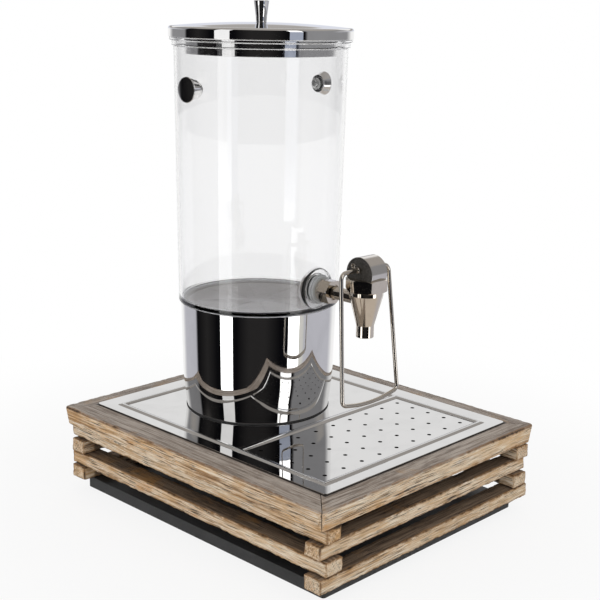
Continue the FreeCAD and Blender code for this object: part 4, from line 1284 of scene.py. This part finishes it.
plainNodes = {
    "foot_pads": blackRubber, "stack_screws": zinc, "collar_screws": zinc, "collar_nuts": zinc,
    "stud_seals": silicone, "knob_screw": zinc, "bonnet_gasket": blackRubber, "stem_seal": blackRubber,
    "valve_stem": nickel, "valve_plug": blackRubber, "valve_spring": springSteel, "lever_cam": nickel,
}
for node, material in plainNodes.items():
    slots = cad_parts[node].material_slots
    for entry in slots:
        entry.material = material


# Studio: white floor and surroundings, with the dark room behind the camera that the polished metal shows

studio = {
    "view": 46.0,               # degrees that the camera stands round from the front, towards the left
    "fill": 0.75,               # what the surroundings give to plain surfaces
    "throughClear": 0.65,       # how much of the backdrop's white a ray finds that clear plastic has bent
    "panelDistance": 1.7,
    "panelFade": 0.25,          # height over which a panel's lower tone gives way to its upper one
    "floorTone": (0.86, 0.86, 0.86), "floorGlow": 0.86, "floorRadius": 4.0,
    "glowFrom": 0.24, "glowTo": 0.62,
    "tableTone": (0.88, 0.88, 0.87),
    "tableHalf": 0.24,          # the part of the table that the metal shows
}
bright, leftUpper, window = (2.5, 2.5, 2.5), (1.1, 1.1, 1.1), (0.42, 0.46, 0.56)
# bearing from the camera and width in degrees, foot and head in metres, glow below and above the table's
# height, and what it gives to plain surfaces
studioPanels = {
    "left": (-45.1, 19.2, -0.75, 1.90, bright, leftUpper, 2.6),
    "rightLow": (54.5, 17.5, -0.75, -0.06, bright, bright, 0),
    "rightHigh": (44.1, 16.9, -0.05, 0.62, window, window, 0),
    "rightTop": (44.1, 16.9, 0.63, 1.90, bright, bright, 1.4),
}
# bearing from the camera in degrees, the tone below the table's level, and the tone from there up
white, black = (1.0, 1.0, 1.0), (0.004, 0.004, 0.005)
haze, wall, dusk = (0.55, 0.55, 0.60), (0.30, 0.30, 0.31), (0.022, 0.021, 0.021)
cream = (0.70, 0.69, 0.65)
studioBands = [
    (-150, white, white), (-136, haze, wall), (-105, haze, wall), (-101, black, black), (-80, dusk, dusk),
    (-62, black, black), (-30, black, black), (-12, dusk, dusk), (12, dusk, dusk), (34, black, black),
    (57, black, black), (60, cream, wall), (71, cream, wall), (74, haze, wall), (132, haze, wall),
    (148, white, white),
]
roomTones = {"overhead": (0.42, 0.395, 0.37), "horizon": (0.74, 0.76, 0.84), "dull": (0.42, 0.40, 0.38),
             "table": (0.60, 0.55, 0.50)}


def bandRamp(tree, share, level):
    ramp = addNode(tree, "ShaderNodeValToRGB", None, {0: share})
    bands = ramp.color_ramp.elements
    bands[0].position, bands[1].position = 0.0, 1.0
    bands[0].color = bands[1].color = (*white, 1)
    for band in studioBands:
        bands.new((band[0] + 180) / 360).color = (*band[level], 1)
    return Field(tree, ramp.outputs[0])


def lightPath(tree):
    return fieldsOf(tree, tree.nodes.new("ShaderNodeLightPath"))


def backgroundLight(tree, tone, strength):
    return newField(tree, "ShaderNodeBackground", None, {"Color": tone, "Strength": strength})


def mixShaders(tree, factor, first, second):
    return newField(tree, "ShaderNodeMixShader", None, {0: factor, 1: first, 2: second})


def surroundings():
    world = bpy.data.worlds.new("studioWorld")
    scene.world = world
    world.use_nodes = True
    tree = world.node_tree
    tree.nodes.clear()
    rays = lightPath(tree)
    x, y, z = newField(tree, "ShaderNodeTexCoord", output="Generated").split()
    # bearing of a direction from the camera's side, 0 to 1 for -180 to 180 degrees, with 0.5 behind the camera
    turn = math.radians(studio["view"])
    ahead = Vector((-math.sin(turn), -math.cos(turn)))
    forward = x * ahead.x + y * ahead.y
    sideways = y * ahead.x - x * ahead.y
    share = sideways.calc("ARCTAN2", sideways, forward) / (2 * math.pi) + 0.5
    mirrored = z.step(-0.20, -0.07).blend(bandRamp(tree, share, 1), bandRamp(tree, share, 2))
    # overhead, and higher up on the camera's side
    lift = z - forward.step(0.0, 0.6, 0.0, 0.20)
    mirrored = lift.step(0.46, 0.60).blend(mirrored, roomTones["overhead"])
    # low behind the object: a pale band at the horizon under a dull one
    behind = forward.step(-0.45, -0.15, 1.0, 0.0)
    pale = z.step(0.01, 0.03) * z.step(0.12, 0.15, 1.0, 0.0)
    mirrored = (pale * behind).blend(mirrored, roomTones["horizon"])
    dull = z.step(0.12, 0.15) * z.step(0.24, 0.27, 1.0, 0.0)
    mirrored = (dull * behind).blend(mirrored, roomTones["dull"])
    # the table further out, seen steeply from above
    mirrored = z.step(-0.62, -0.50, 1.0, 0.0).blend(mirrored, roomTones["table"])
    # clear plastic bends its rays to the white backdrop more than to the room
    through = rays["Is Transmission Ray"]
    bent = through.calc("SUBTRACT", through, rays["Glossy Depth"], clamp=True)
    mirrored = (bent * studio["throughClear"]).blend(mirrored, white)
    # what lights a plain surface through glass is the even fill too
    sharp = rays["Is Glossy Ray"].atLeast(through) * (1.0 - rays["Diffuse Depth"].atMost(1.0))
    plain = backgroundLight(tree, white, studio["fill"])
    room = mixShaders(tree, sharp, plain, backgroundLight(tree, mirrored, 1.0))
    last = mixShaders(tree, rays["Is Camera Ray"], room, backgroundLight(tree, white, 1.0))
    fill(tree, tree.nodes.new("ShaderNodeOutputWorld"), {"Surface": last})


def stageObject(name, bm, material):
    mesh = bpy.data.meshes.new(name)
    bm.to_mesh(mesh)
    bm.free()
    mesh.materials.append(material)
    made = bpy.data.objects.new(name, mesh)
    scene.collection.objects.link(made)
    return made


def panelGlow(name, low, high, lights):
    glow = bpy.data.materials.new(name)
    glow.use_nodes = True
    tree = glow.node_tree
    tree.nodes.clear()
    tone = objectPlace(tree).split()[2].step(0.0, studio["panelFade"]).blend(low, high)
    tone = lightPath(tree)["Diffuse Depth"].atMost(1.0).blend(tone, (lights, lights, lights))
    lamp = newField(tree, "ShaderNodeEmission", None, {"Color": tone, "Strength": 1.0})
    fill(tree, tree.nodes.new("ShaderNodeOutputMaterial"), {"Surface": lamp})
    return glow


def panels():
    # upright soft boxes, to the left and right of the camera
    distance = studio["panelDistance"]
    for side, (bearing, wide, foot, head, low, high, lights) in studioPanels.items():
        angle = math.radians(-90 - studio["view"] + bearing)
        middle = Vector((math.cos(angle), math.sin(angle), 0)) * distance + tubeAxis
        half = distance * math.tan(math.radians(wide / 2))
        sideways = Vector((-math.sin(angle), math.cos(angle), 0)) * half
        bm = bmesh.new()
        spots = [middle - sideways + up * foot, middle + sideways + up * foot,
                 middle + sideways + up * head, middle - sideways + up * head]
        bm.faces.new([bm.verts.new(spot) for spot in spots])
        panel = stageObject(side + "Panel", bm, panelGlow(side + "PanelGlow", low, high, lights))
        panel.visible_camera = panel.visible_shadow = False
        panel.visible_diffuse = lights > 0


def floors():
    # the wide floor shows to the camera and catches the shadow; the near one is what the metal mirrors
    wide, tree, shader, place = newMaterial("paleFloor")
    fill(tree, shader, {"Base Color": studio["floorTone"], "Roughness": 0.9})
    rays = lightPath(tree)
    far = place.length().step(studio["glowFrom"], studio["glowTo"], studio["floorGlow"], 1.0)
    seen = far * rays["Is Camera Ray"].atLeast(rays["Is Transmission Ray"])
    glow = newField(tree, "ShaderNodeEmission", None, {"Strength": 1.0})
    last = mixShaders(tree, seen, Field(tree, shader.outputs[0]), glow)
    fill(tree, tree.nodes["Material Output"], {"Surface": last})
    near, tree, shader, place = newMaterial("tableTop")
    fill(tree, shader, {"Base Color": studio["tableTone"]})
    bm = bmesh.new()
    bmesh.ops.create_circle(bm, cap_ends=True, segments=96, radius=studio["floorRadius"])
    stageObject("floorWide", bm, wide).visible_glossy = False
    half = studio["tableHalf"]
    table = stageObject("floorNear", brick((-half, -half, -12 * mm), (half, half, -0.2 * mm)), near)
    table.visible_camera = table.visible_transmission = False
    table.visible_diffuse = table.visible_shadow = False


# Camera, as the photograph was taken

viewpoint = {"place": Vector((-814.1, -787.4, 494.7)) * mm, "yaw": -46.03, "pitch": 14.09, "roll": 1.056,
             "focalPixels": 1173.1, "framePixels": 600, "sensor": 36.0}


def camera():
    yaw, pitch, roll = (math.radians(viewpoint[key]) for key in ("yaw", "pitch", "roll"))
    ahead = Vector((-math.sin(yaw) * math.cos(pitch), math.cos(yaw) * math.cos(pitch), -math.sin(pitch)))
    side = Vector((math.cos(yaw), math.sin(yaw), 0))
    above = side.cross(ahead)
    sideRolled = side * math.cos(roll) + above * math.sin(roll)
    aboveRolled = above * math.cos(roll) - side * math.sin(roll)
    data = bpy.data.cameras.new("camera")
    data.sensor_width = viewpoint["sensor"]
    data.lens = viewpoint["sensor"] * viewpoint["focalPixels"] / viewpoint["framePixels"]
    data.clip_start = 0.02
    made = bpy.data.objects.new("camera", data)
    scene.collection.objects.link(made)
    turn = Matrix((sideRolled, aboveRolled, -ahead)).transposed().to_4x4()
    made.matrix_world = Matrix.Translation(viewpoint["place"]) @ turn
    scene.camera = made


surroundings()
panels()
floors()
camera()
scene.view_settings.view_transform = "Standard"
print("studio ready")
